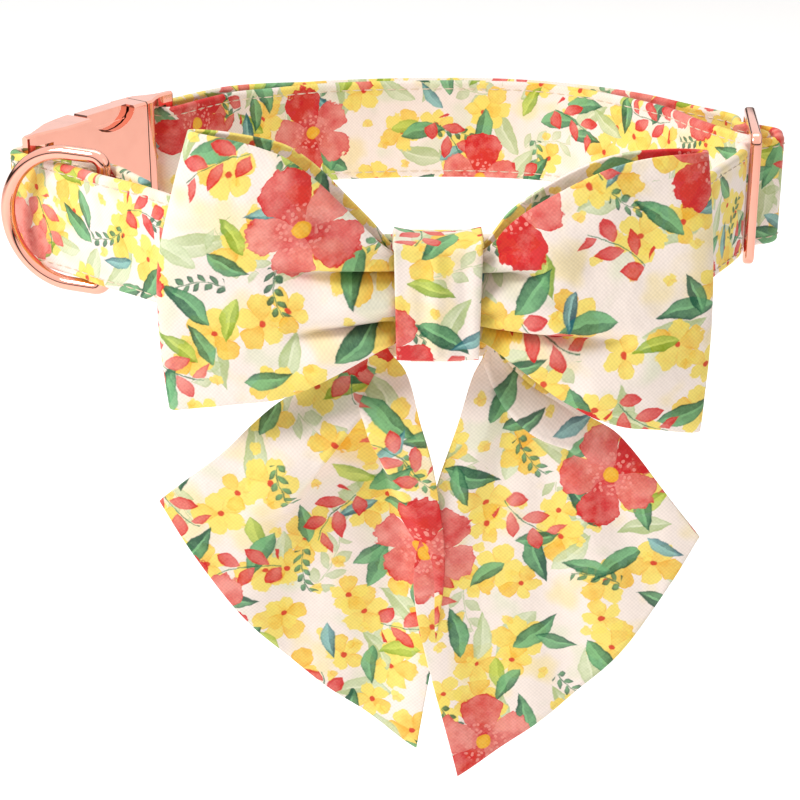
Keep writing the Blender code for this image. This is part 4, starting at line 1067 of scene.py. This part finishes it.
# A folded flap's edge down a tail: where it lies across (0 is the outer edge), how far the
# flap stands forward of what is beyond it, how soft the step is and how far the flap laps over.
LEFT_OUTER_FLAP = (
    FlapRow(0.15, 0.600, 0.0020, 0.060, 0.0000), FlapRow(0.28, 0.585, 0.0046, 0.042, 0.0003),
    FlapRow(0.37, 0.570, 0.0065, 0.034, 0.0008), FlapRow(0.49, 0.490, 0.0069, 0.034, 0.0008),
    FlapRow(0.59, 0.435, 0.0059, 0.036, 0.0007), FlapRow(0.67, 0.405, 0.0046, 0.054, 0.0004),
    FlapRow(0.80, 0.330, 0.0026, 0.120, 0.0000), FlapRow(1.00, 0.230, 0.0011, 0.195, 0.0000),
)
LEFT_INNER_FLAP = (
    FlapRow(0.15, 0.640, 0.0020, 0.060, 0.0000), FlapRow(0.28, 0.610, 0.0046, 0.042, 0.0003),
    FlapRow(0.37, 0.585, 0.0065, 0.034, 0.0008), FlapRow(0.44, 0.645, 0.0069, 0.034, 0.0008),
    FlapRow(0.52, 0.735, 0.0059, 0.036, 0.0007), FlapRow(0.64, 0.830, 0.0046, 0.051, 0.0003),
    FlapRow(0.76, 0.900, 0.0032, 0.075, 0.0001), FlapRow(1.00, 0.900, 0.0019, 0.105, 0.0000),
)
RIGHT_OUTER_FLAP = (
    FlapRow(0.15, 0.980, 0.0010, 0.120, 0.0000), FlapRow(0.22, 0.900, 0.0030, 0.090, 0.0001),
    FlapRow(0.30, 0.670, 0.0050, 0.051, 0.0005), FlapRow(0.37, 0.520, 0.0058, 0.036, 0.0008),
    FlapRow(0.44, 0.385, 0.0065, 0.034, 0.0008), FlapRow(0.55, 0.245, 0.0050, 0.045, 0.0005),
    FlapRow(0.67, 0.165, 0.0032, 0.090, 0.0001), FlapRow(1.00, 0.080, 0.0011, 0.150, 0.0000),
)
RIGHT_INNER_FLAP = (
    FlapRow(0.15, 0.820, 0.0007, 0.075, 0.0000), FlapRow(0.26, 0.790, 0.0020, 0.068, 0.0000),
    FlapRow(0.34, 0.690, 0.0024, 0.068, 0.0001), FlapRow(0.48, 0.740, 0.0020, 0.090, 0.0000),
    FlapRow(1.00, 0.740, 0.0008, 0.180, 0.0000),
)
# The groove between the right tail's rolled flap and its free edge: where it lies across at
# each share of the way down, and how deep it is
RIGHT_GROOVE = (
    FlapRow(0.15, 0.60, 0.0000, 0.030, 0.0000), FlapRow(0.22, 0.45, 0.0032, 0.030, 0.0000),
    FlapRow(0.28, 0.275, 0.0050, 0.032, 0.0000), FlapRow(0.36, 0.110, 0.0046, 0.034, 0.0000),
    FlapRow(0.43, 0.060, 0.0023, 0.040, 0.0000), FlapRow(0.52, 0.030, 0.0000, 0.050, 0.0000),
    FlapRow(1.00, 0.020, 0.0000, 0.060, 0.0000),
)


def bow_middle_y(settings):
    return KNOT_BACK_Y - (settings.depth + KNOT_WALL / 2) / 2


def crease_depth(x, z, creases, settings):
    """How far the creases stand forward at each place: for each, a bell across its line that
    fades out past both of its ends."""
    total = np.zeros_like(x)
    for row in creases:
        start = np.array([row.x0 * settings.reach, row.z0 * settings.height])
        end = np.array([row.x1 * settings.reach, row.z1 * settings.height])
        way = end - start
        size = np.linalg.norm(way)
        way /= size
        along = ((x - start[0]) * way[0] + (z - start[1]) * way[1]) / size
        away = (x - start[0]) * -way[1] + (z - start[1]) * way[0]
        fade = eased(along, -0.15, 0.10) * (1 - eased(along, 0.55, 1.15))
        width = row.width * (0.7 + 0.9 * np.clip(along, 0.0, 1.2))
        total += row.depth * np.exp(-(away / width) ** 2) * fade
    return total


def loop_sheet(settings, edges, fold, creases, rear, side):
    """A bow loop as one sheet: it runs out from the knot along LOOP_PATH, folds and returns.
    Heights blend between the two edges, the gathers are a cosine that fades with the reach,
    and the rear ply's edges show a little beyond the front's near the knot."""
    way = smooth_line([(row.reach, row.depth) for row in LOOP_PATH], 7)
    height = 0.5 - 0.5 * np.cos(np.linspace(0.0, pi, 61))
    height = 0.55 * height + 0.45 * np.linspace(0.0, 1.0, 61)
    t, h = np.meshgrid(way[:, 0], height, indexing="ij")
    depth = np.repeat(way[:, 1:2], len(height), axis=1)
    top = curve_through(edges, "top")(t)
    bottom = curve_through(edges, "bottom")(t)
    behind = eased(-depth, -0.05, 0.25)
    shown = behind * eased(t, 0.17, 0.28) * (1 - eased(t, 0.45, 0.85))
    top = top + rear[0] * shown
    bottom = bottom - rear[1] * shown
    z = (bottom + (top - bottom) * h) * settings.height
    x = t * curve_through(fold, "reach")(h) * settings.reach
    from_middle = (z - KNOT_RISE) / settings.pleat_pitch
    near_knot = np.clip(1 - t / 0.55, 0, 1) ** 1.5
    spread = np.exp(-(np.maximum(np.abs(from_middle) - 0.7, 0) / 0.5) ** 2)
    pleat = np.cos(2 * pi * from_middle) * near_knot * spread
    pleat *= np.where(depth > 0, 1.0, 0.35)
    front = 1 - behind
    relief = pleat * settings.pleat_depth + crease_depth(x, z, creases, settings) * front
    waves = np.sin(x * 260 + z * 120 + 0.7) * np.sin(z * 210 - x * 60 + 1.3)
    waves += 0.6 * np.sin(x * 520 - z * 330 + 2.1) * np.sin(z * 470 + 0.4)
    relief += 0.00022 * waves * eased(t, 0.15, 0.4)
    rolled = np.clip(np.abs(2 * h - 1) - 0.86, 0, 1) / 0.14
    relief -= 0.0007 * rolled ** 2 * front * eased(t, 0.2, 0.4)
    y = bow_middle_y(settings) - depth * settings.depth / 2 - relief
    grid = np.stack([BOW_CENTRE_X + side * x, y, z], axis=-1)
    middle = np.stack([way[:, 0] * settings.reach, way[:, 1] * settings.depth / 2], -1)
    along = np.repeat(arc_length(middle)[:, None], len(height), axis=1)
    return grid, np.dstack([side * along, z])


def flap(down, across, rows):
    """A folded edge: (how far the cloth stands forward, how far it slides across). The step
    is an eased S about the flap's edge, and the slide is a bell in front of it less one behind,
    so that the cloth doubles back under the flap."""
    edge = curve_through(rows, "edge")(down)
    rise = np.maximum(curve_through(rows, "rise")(down), 0.0)
    soft = np.maximum(curve_through(rows, "soft")(down), 0.004)
    lap = np.maximum(curve_through(rows, "lap")(down), 0.0)
    away = (across - edge) / soft
    step = rise * (1 - eased(away, -1.0, 1.0))
    slide = lap * (np.exp(-((away + 1.2) / 1.3) ** 2) - np.exp(-((away - 1.2) / 1.3) ** 2))
    return step, slide


def grooved(down, across, rows):
    """How deep a groove lies at each place: a bell about its line, none without rows."""
    if not rows:
        return 0.0
    line = curve_through(rows, "edge")(down)
    deep = np.maximum(curve_through(rows, "rise")(down), 0.0)
    return deep * np.exp(-((across - line) / curve_through(rows, "soft")(down)) ** 2)


def tail_sheet(settings, edges, outer_flap, inner_flap, groove, loop_edges, side, forward):
    """A tail as one sheet from the knot to the slanted cut: both edges follow their tables, the
    cut bellies a little, and two folded flaps stand over a recess between them. It comes
    forward only below the loop that it hangs behind."""
    down, across = np.meshgrid(np.linspace(0, 1, 201) ** 1.4, np.linspace(0, 1, 221), indexing="ij")
    read = {name: curve_through(edges, name)(down) for name in TailRow._fields[1:]}
    belly = np.sin(pi * across) * down ** 2 * TAIL_BELLY
    x = (read["outer_x"] + (read["inner_x"] - read["outer_x"]) * across + side * belly)
    z = (read["outer_z"] + (read["inner_z"] - read["outer_z"]) * across - belly)
    x = x * settings.tail_spread
    z = z * settings.tail_length
    flat = np.stack([x, z], -1)
    outer_step, outer_slide = flap(down, across, outer_flap)
    mirrored = [row._replace(edge=1 - row.edge) for row in inner_flap]
    inner_step, inner_slide = flap(down, 1 - across, mirrored)
    way = np.gradient(flat, axis=1)
    way /= np.maximum(np.linalg.norm(way, axis=2), 1e-9)[:, :, None]
    flat = flat + way * (outer_slide - inner_slide)[:, :, None]
    relief = outer_step + inner_step - grooved(down, across, groove)
    relief += 0.0016 * np.exp(-((across - 0.25) / 0.16) ** 2) * eased(down, 0.1, 0.4)
    relief += 0.0007 * np.sin(9 * across + 4 * down + 0.6) * eased(down, 0.5, 1.0)
    relief += 0.0004 * np.sin(21 * across - 7 * down) * eased(down, 0.3, 0.8)
    loop_bottom = curve_through(loop_edges, "bottom")(np.abs(x) / settings.reach) * settings.height
    free = eased(loop_bottom - z, 0.0, TAIL_FREEING)
    base = KNOT_BACK_Y - KNOT_WALL - CLEARANCE - settings.cloth / 2 - TAIL_SLACK
    y = base - (forward + relief) * free
    grid = np.stack([BOW_CENTRE_X + flat[:, :, 0], y, flat[:, :, 1]], axis=-1)
    return grid, np.dstack([x, z])


def rounded_oblong(count, power_y, power_z, half_y, half_z):
    """The points of a rounded oblong about the X direction: each power of its cosine and sine
    below 1 squares it off. Returns the angles, y and z."""
    angle = np.linspace(0, 2 * pi, count + 1)[:-1]
    y = np.sign(np.cos(angle)) * np.abs(np.cos(angle)) ** power_y * half_y
    z = np.sign(np.sin(angle)) * np.abs(np.sin(angle)) ** power_z * half_z
    return angle, y, z


def band_map(across, y, z):
    """A band's map: across its width one way, and how far round its outline the other."""
    outline = np.stack([y, z], -1)
    around = arc_length(np.vstack([outline, outline[:1]]))
    u = np.repeat(across[:, None], len(around), axis=1)
    return np.dstack([u, np.broadcast_to(around, u.shape)])


def knot_grid(settings):
    """The knot's band: a rounded oblong drawn in at its waist and gathered in soft ridges that
    run round it, each a cosine across the width."""
    half_depth = (settings.depth + KNOT_WALL / 2) / 2
    half_height = KNOT_HEIGHT / 2
    angle, y, z = rounded_oblong(96, KNOT_SQUARING, KNOT_SQUARING, half_depth, half_height)
    station = np.linspace(-1, 1, 41)
    s, y = np.meshgrid(station, y, indexing="ij")
    z = np.broadcast_to(z, s.shape)
    a = np.broadcast_to(angle, s.shape)
    facing = eased(-np.cos(a), 0.0, 0.9)
    waist = np.where(z > 0, 1 - 0.085 * (1 - s ** 2), 1 + 0.012 * (1 - s ** 2))
    ridges = np.cos(s * 7.0 + 0.5 * np.sin(a)) * 0.00028 + np.cos(s * 13.0 + 1.0) * 0.00012
    crown = 0.0007 * (1 - s ** 2)
    out = (ridges + crown) * facing
    x = BOW_CENTRE_X + s * KNOT_WIDTH / 2 * (1 + 0.03 * (z / half_height))
    grid = np.stack([x, bow_middle_y(settings) + y - out, KNOT_RISE + z * waist], -1)
    return grid, band_map(station * KNOT_WIDTH / 2, y[0], z[0])


def keeper_grid():
    """The keeper's band round the strap: a rounded oblong carried across its width."""
    half_depth = STRAP_THICKNESS / 2 + KEEPER_PLAY + KEEPER_WALL
    half_height = STRAP_WIDTH / 2 + KEEPER_SLACK + KEEPER_CLOTH
    _, y, z = rounded_oblong(72, 0.3, 0.12, half_depth, half_height)
    s, y = np.meshgrid(np.linspace(-1, 1, 15), y, indexing="ij")
    z = np.broadcast_to(z, s.shape)
    strap_y = STRAP_FRONT_Y + STRAP_THICKNESS / 2
    grid = np.stack([BOW_CENTRE_X + s * KEEPER_WIDTH / 2, strap_y + y, z], -1)
    return grid, band_map(s[:, 0] * KEEPER_WIDTH / 2, y[0], z[0])


class COLLAR_OT_bow_loops(bpy.types.Operator):
    """Folds the two loops of the bow, gathered at the knot"""
    bl_idname = "collar.bow_loops"
    bl_label = "Bow loops"

    def execute(self, context):
        settings = context.scene.collar_bow
        for name, edges, fold, creases, rear, side in (
                ("left", LEFT_EDGES, LEFT_FOLD, LEFT_CREASES, LEFT_REAR, -1),
                ("right", RIGHT_EDGES, RIGHT_FOLD, RIGHT_CREASES, RIGHT_REAR, 1)):
            grid, uv = loop_sheet(settings, edges, fold, creases, rear, side)
            mesh = surface_mesh(f"loop_cloth_{name}", grid, uv + PRINT_AT[f"loop_{name}"])
            loop = add_piece(f"loop_cloth_{name}", mesh, printed_cotton(f"loop_print_{name}"))
            wall(loop, settings.cloth)
            rounded(loop)
            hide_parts(f"bow_loop_{name}")
        return {"FINISHED"}


class COLLAR_OT_bow_tails(bpy.types.Operator):
    """Hangs the two tails of the bow with their folded flaps"""
    bl_idname = "collar.bow_tails"
    bl_label = "Bow tails"

    def execute(self, context):
        settings = context.scene.collar_bow
        step = settings.cloth + CLEARANCE
        for name, edges, outer, inner, groove, loop_edges, side, forward in (
                ("left", LEFT_TAIL, LEFT_OUTER_FLAP, LEFT_INNER_FLAP, (), LEFT_EDGES, -1, 0.0),
                ("right", RIGHT_TAIL, RIGHT_OUTER_FLAP, RIGHT_INNER_FLAP, RIGHT_GROOVE,
                 RIGHT_EDGES, 1, step)):
            grid, uv = tail_sheet(settings, edges, outer, inner, groove, loop_edges, side, forward)
            mesh = surface_mesh(f"tail_cloth_{name}", grid, uv + PRINT_AT[f"tail_{name}"])
            tail = add_piece(f"tail_cloth_{name}", mesh, printed_cotton(f"tail_print_{name}"))
            wall(tail, settings.cloth)
            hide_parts(f"tail_{name}")
        return {"FINISHED"}


class COLLAR_OT_knot(bpy.types.Operator):
    """Wraps the knot round the bow and the keeper round the strap"""
    bl_idname = "collar.knot"
    bl_label = "Knot and keeper"

    def execute(self, context):
        settings = context.scene.collar_bow
        grid, uv = knot_grid(settings)
        mesh = turned_outwards(surface_mesh("knot_cloth", grid, uv + PRINT_AT["knot"], wrap=True))
        knot = add_piece("knot_cloth", mesh, printed_cotton("knot_print"))
        wall(knot, KNOT_WALL, -1.0)
        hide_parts("bow_knot")
        grid, uv = keeper_grid()
        mesh = turned_outwards(surface_mesh("keeper_cloth", grid, uv + PRINT_AT["keeper"], wrap=True))
        keeper = add_piece("keeper_cloth", mesh, printed_cotton("keeper_print"))
        wall(keeper, KEEPER_CLOTH, -1.0)
        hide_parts("bow_keeper")
        return {"FINISHED"}


# Fittings

def ring_route():
    """The D-ring's wire in its own plane: a half circle, two short legs, two round corners and
    the straight bar, which stands on the hinge's axis."""
    wire = bpy.context.scene.collar_metal.ring_wire
    half = (D_INNER_WIDTH + wire) / 2
    leg = D_REACH - half
    bow = np.linspace(pi / 2, -pi / 2, 49)
    points = [np.stack([leg + half * np.cos(bow), half * np.sin(bow)], -1)]
    for first, last, sign in ((-pi / 2, -pi, -1), (pi, pi / 2, 1)):
        turn = np.linspace(first, last, 9)
        points.append(np.stack([D_CORNER + D_CORNER * np.cos(turn),
                                sign * (half - D_CORNER) + D_CORNER * np.sin(turn)], -1))
        if sign < 0:
            rise = np.linspace(-(half - D_CORNER), half - D_CORNER, 12)[1:-1]
            points.append(np.stack([np.zeros(10), rise], -1))
    return np.vstack(points), wire


def ring_grid():
    """A circle carried round the wire's closed route, square to it."""
    route, wire = ring_route()
    route = resampled(np.vstack([route, route[:1]]), 0.0005)[:-1]
    ahead = np.roll(route, -1, axis=0) - np.roll(route, 1, axis=0)
    ahead /= np.linalg.norm(ahead, axis=1)[:, None]
    out = np.stack([ahead[:, 1], -ahead[:, 0]], -1)
    angle = np.linspace(0, 2 * pi, 33)[:-1]
    flat = route[:, None] + out[:, None] * (np.cos(angle) * wire / 2)[None, :, None]
    lift = np.broadcast_to(np.sin(angle) * wire / 2, flat.shape[:2])
    grid = np.dstack([flat, lift])
    return np.concatenate([grid, grid[:1]], axis=0)


def rounded_outline(centre, half_x, half_y, corner, steps):
    """A closed outline with four round corners, counterclockwise from the right."""
    angle = np.linspace(0.0, pi / 2, steps + 1)
    parts = []
    for k, (sign_x, sign_y) in enumerate(((1, 1), (-1, 1), (-1, -1), (1, -1))):
        turn = angle + k * pi / 2
        parts.append(np.stack([centre + sign_x * (half_x - corner) + corner * np.cos(turn),
                               sign_y * (half_y - corner) + corner * np.sin(turn)], -1))
    return np.vstack(parts)


def plate_mesh(name, outlines, thickness, edge):
    """A flat plate cut from outlines, with its edges rounded by a curve's bevel."""
    curve = bpy.data.curves.new(name, "CURVE")
    curve.dimensions = "2D"
    curve.fill_mode = "BOTH"
    curve.bevel_depth = edge
    curve.bevel_resolution = 4
    curve.extrude = thickness / 2 - edge
    curve.offset = -edge
    for outline in outlines:
        spline = curve.splines.new("POLY")
        spline.points.add(len(outline) - 1)
        flat = np.column_stack([outline, np.zeros(len(outline)), np.ones(len(outline))])
        spline.points.foreach_set("co", flat.astype(np.float32).ravel())
        spline.use_cyclic_u = True
    guide = bpy.data.objects.new(name + "_outline", curve)
    bpy.context.scene.collection.objects.link(guide)
    bpy.context.view_layer.update()
    graph = bpy.context.evaluated_depsgraph_get()
    mesh = bpy.data.meshes.new_from_object(guide.evaluated_get(graph))
    bpy.data.objects.remove(guide)
    shape = bmesh.new()
    shape.from_mesh(mesh)
    bmesh.ops.remove_doubles(shape, verts=shape.verts, dist=1e-6)
    bmesh.ops.recalc_face_normals(shape, faces=shape.faces)
    shape.to_mesh(mesh)
    shape.free()
    mesh.name = name
    return mesh


def merged_copy(node, name):
    """A node's mesh with its doubles merged and its flat faces joined."""
    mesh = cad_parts[node].data.copy()
    mesh.name = name
    shape = bmesh.new()
    shape.from_mesh(mesh)
    bmesh.ops.remove_doubles(shape, verts=shape.verts, dist=1e-6)
    bmesh.ops.dissolve_limit(shape, angle_limit=radians(0.6), verts=shape.verts, edges=shape.edges)
    shape.to_mesh(mesh)
    shape.free()
    return mesh


def soften(piece, width, segments, angle):
    bevel = piece.modifiers.new("edges", "BEVEL")
    bevel.width = width
    bevel.segments = segments
    bevel.limit_method = "ANGLE"
    bevel.angle_limit = radians(angle)
    bevel.use_clamp_overlap = True
    bevel.harden_normals = False
    normals = piece.modifiers.new("normals", "WEIGHTED_NORMAL")
    normals.keep_sharp = True


class COLLAR_OT_d_ring(bpy.types.Operator):
    """Bends the polished wire of the D-ring"""
    bl_idname = "collar.d_ring"
    bl_label = "D-ring"

    def execute(self, context):
        grid = ring_grid()
        uv = np.zeros((grid.shape[0], grid.shape[1] + 1, 2))
        mesh = surface_mesh("ring_wire", grid, uv, wrap=True)
        mesh.transform(plan_matrix(d_ring_place()) @ Matrix.Rotation(D_TILT, 4, "Z"))
        shape = bmesh.new()
        shape.from_mesh(mesh)
        bmesh.ops.remove_doubles(shape, verts=shape.verts, dist=1e-7)
        shape.to_mesh(mesh)
        shape.free()
        ring = add_piece("ring_wire", turned_outwards(mesh), rose_gold("ring_plating"), "ring")
        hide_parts("d_ring")
        return {"FINISHED"}


class COLLAR_OT_slider(bpy.types.Operator):
    """Stamps the slider's frame with its three bars"""
    bl_idname = "collar.slider"
    bl_label = "Slider"

    def execute(self, context):
        half_slot = context.scene.collar_strap.width / 2 + CLEARANCE
        half_length = SLIDER_BAR_WIDTH * 1.5 + SLIDER_SLOT
        outlines = [rounded_outline(0.0, half_length, half_slot + SLIDER_RAIL, SLIDER_CORNER, 10)]
        centre = (SLIDER_BAR_WIDTH + SLIDER_SLOT) / 2
        for sign in (-1, 1):
            outlines.append(rounded_outline(sign * centre, SLIDER_SLOT / 2, half_slot,
                                            SLIDER_BAR_WIDTH * 0.25, 5))
        mesh = plate_mesh("slider_plate", outlines, SLIDER_THICKNESS, SLIDER_EDGE * 1.6)
        mesh.transform(plan_matrix(slider_place()))
        slider = add_piece("slider_plate", mesh, rose_gold("slider_plating"))
        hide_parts("slider")
        mesh.set_sharp_from_angle(angle=radians(50))
        return {"FINISHED"}


class COLLAR_OT_buckle(bpy.types.Operator):
    """Polishes the buckle's sleeve and the insert that is pushed home in it"""
    bl_idname = "collar.buckle"
    bl_label = "Side-release buckle"

    def execute(self, context):
        for node, name in (("buckle_body", "buckle_sleeve"), ("buckle_insert", "buckle_insert_bar")):
            piece = add_piece(name, merged_copy(node, name), rose_gold(f"{name}_plating"))
            soften(piece, 0.00035, 3, 28)
            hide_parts(node)
        return {"FINISHED"}


# Stage

def soft_light(name, place, target, size, power, tint="FFFFFF"):
    lamp = bpy.data.lights.new(name, "AREA")
    lamp.shape = "RECTANGLE"
    lamp.size, lamp.size_y = size
    lamp.energy = power
    lamp.color = linear(tint)
    light = bpy.data.objects.new(name, lamp)
    bpy.context.scene.collection.objects.link(light)
    light.location = place
    towards = Vector(target) - Vector(place)
    light.rotation_euler = towards.to_track_quat("-Z", "Y").to_euler()
    return light


def studio_air():
    """The world: even and dim for the cloth, pale with a dark band above the floor for what the
    metal mirrors, and plain white where the camera sees it directly."""
    world = bpy.data.worlds.new("studio air")
    world.use_nodes = True
    bpy.context.scene.world = world
    tree = world.node_tree
    f = Formula(tree)
    back = tree.nodes["Background"]
    place = f.node("ShaderNodeTexCoord", {}).outputs["Generated"]
    x, y, z = f.split(place)
    ramp = tree.nodes.new("ShaderNodeValToRGB")
    stops = ((0.0, 1.00), (0.46, 0.90), (0.505, 0.04), (0.565, 0.06), (0.605, 1.10), (1.0, 1.35))
    elements = ramp.color_ramp.elements
    elements[0].position, elements[0].color = stops[0][0], (stops[0][1],) * 3 + (1.0,)
    elements[1].position, elements[1].color = stops[-1][0], (stops[-1][1],) * 3 + (1.0,)
    for position, value in stops[1:-1]:
        elements.new(position).color = (value, value, value, 1.0)
    f.feed(ramp.inputs[0], f.math("MULTIPLY_ADD", z, 0.5, 0.5))
    ray = f.node("ShaderNodeLightPath", {}).outputs
    lit = f.mix(ray["Is Glossy Ray"], (0.27, 0.26, 0.25, 1.0), ramp.outputs[0])
    f.feed(back.inputs["Color"], f.mix(ray["Is Camera Ray"], lit, (1.0, 1.0, 1.0, 1.0)))
    back.inputs["Strength"].default_value = 1.0


class COLLAR_OT_stage(bpy.types.Operator):
    """Sets the floor, the soft lights and the camera"""
    bl_idname = "collar.stage"
    bl_label = "Stage"

    def execute(self, context):
        settings = context.scene.collar_stage
        x, y = np.meshgrid(np.linspace(-6.0, 6.0, 25), np.linspace(-6.0, 6.0, 25), indexing="ij")
        grid = np.dstack([x, y, np.full_like(x, settings.floor_level)])
        mesh = surface_mesh("floor", grid, np.dstack([x, y]))
        floor = bpy.data.objects.new("floor", mesh)
        mesh.materials.append(pale_floor("floor_paper"))
        context.scene.collection.objects.link(floor)
        studio_air()
        soft_light("key", (-0.75, -0.45, 0.85), (0.0, -0.02, -0.02), (0.40, 0.40), settings.key)
        soft_light("fill", (0.9, -0.55, 0.45), (0.0, 0.0, -0.02), (0.7, 0.9), settings.fill)
        soft_light("top", (0.0, 0.35, 1.1), (0.0, 0.0, 0.0), (0.9, 0.6), settings.key * 0.45)
        lens = bpy.data.cameras.new("view")
        lens.lens = 90.0
        lens.sensor_width = 36.0
        lens.clip_start = 0.01
        camera = bpy.data.objects.new("view", lens)
        context.scene.collection.objects.link(camera)
        camera.location = (-0.0015, -0.4319, 0.1284)
        camera.rotation_euler = (radians(90.0 - 22.26), 0.0, 0.0)
        context.scene.camera = camera
        context.scene.view_settings.view_transform = "Standard"
        return {"FINISHED"}


class COLLAR_PT_sidebar(bpy.types.Panel):
    """Lists the collar's pieces and the sizes and colours that they read"""
    bl_idname = "COLLAR_PT_sidebar"
    bl_label = "Pet bow tie collar"
    bl_space_type = "VIEW_3D"
    bl_region_type = "UI"
    bl_category = "Collar"

    def draw(self, context):
        scene = context.scene
        for title, settings, operators in SECTIONS:
            box = self.layout.box()
            box.label(text=title)
            group = getattr(scene, settings)
            for key in group.bl_rna.properties.keys():
                if key not in ("rna_type", "name"):
                    box.prop(group, key)
            for operator in operators:
                box.operator(operator)


SECTIONS = (
    ("Stage", "collar_stage", ("collar.stage",)),
    ("Strap", "collar_strap", ("collar.strap",)),
    ("Bow", "collar_bow", ("collar.bow_loops", "collar.bow_tails", "collar.knot")),
    ("Fittings", "collar_metal", ("collar.d_ring", "collar.slider", "collar.buckle")),
    ("Print", "collar_print", ()),
)
SETTINGS = (
    ("collar_strap", CollarStrapSettings),
    ("collar_bow", CollarBowSettings),
    ("collar_print", CollarPrintSettings),
    ("collar_metal", CollarMetalSettings),
    ("collar_stage", CollarStageSettings),
)
CLASSES = tuple(kind for _, kind in SETTINGS) + (
    COLLAR_OT_stage, COLLAR_OT_strap, COLLAR_OT_bow_loops, COLLAR_OT_bow_tails, COLLAR_OT_knot,
    COLLAR_OT_d_ring, COLLAR_OT_slider, COLLAR_OT_buckle, COLLAR_PT_sidebar,
)


def register():
    for kind in CLASSES:
        bpy.utils.register_class(kind)
    for name, kind in SETTINGS:
        setattr(bpy.types.Scene, name, PointerProperty(type=kind))


def unregister():
    for name, _ in SETTINGS:
        delattr(bpy.types.Scene, name)
    for kind in reversed(CLASSES):
        bpy.utils.unregister_class(kind)


def main():
    register()
    bpy.ops.collar.stage()
    bpy.ops.collar.strap()
    bpy.ops.collar.bow_loops()
    bpy.ops.collar.bow_tails()
    bpy.ops.collar.knot()
    bpy.ops.collar.d_ring()
    bpy.ops.collar.slider()
    bpy.ops.collar.buckle()


if __name__ == "__main__":
    main()
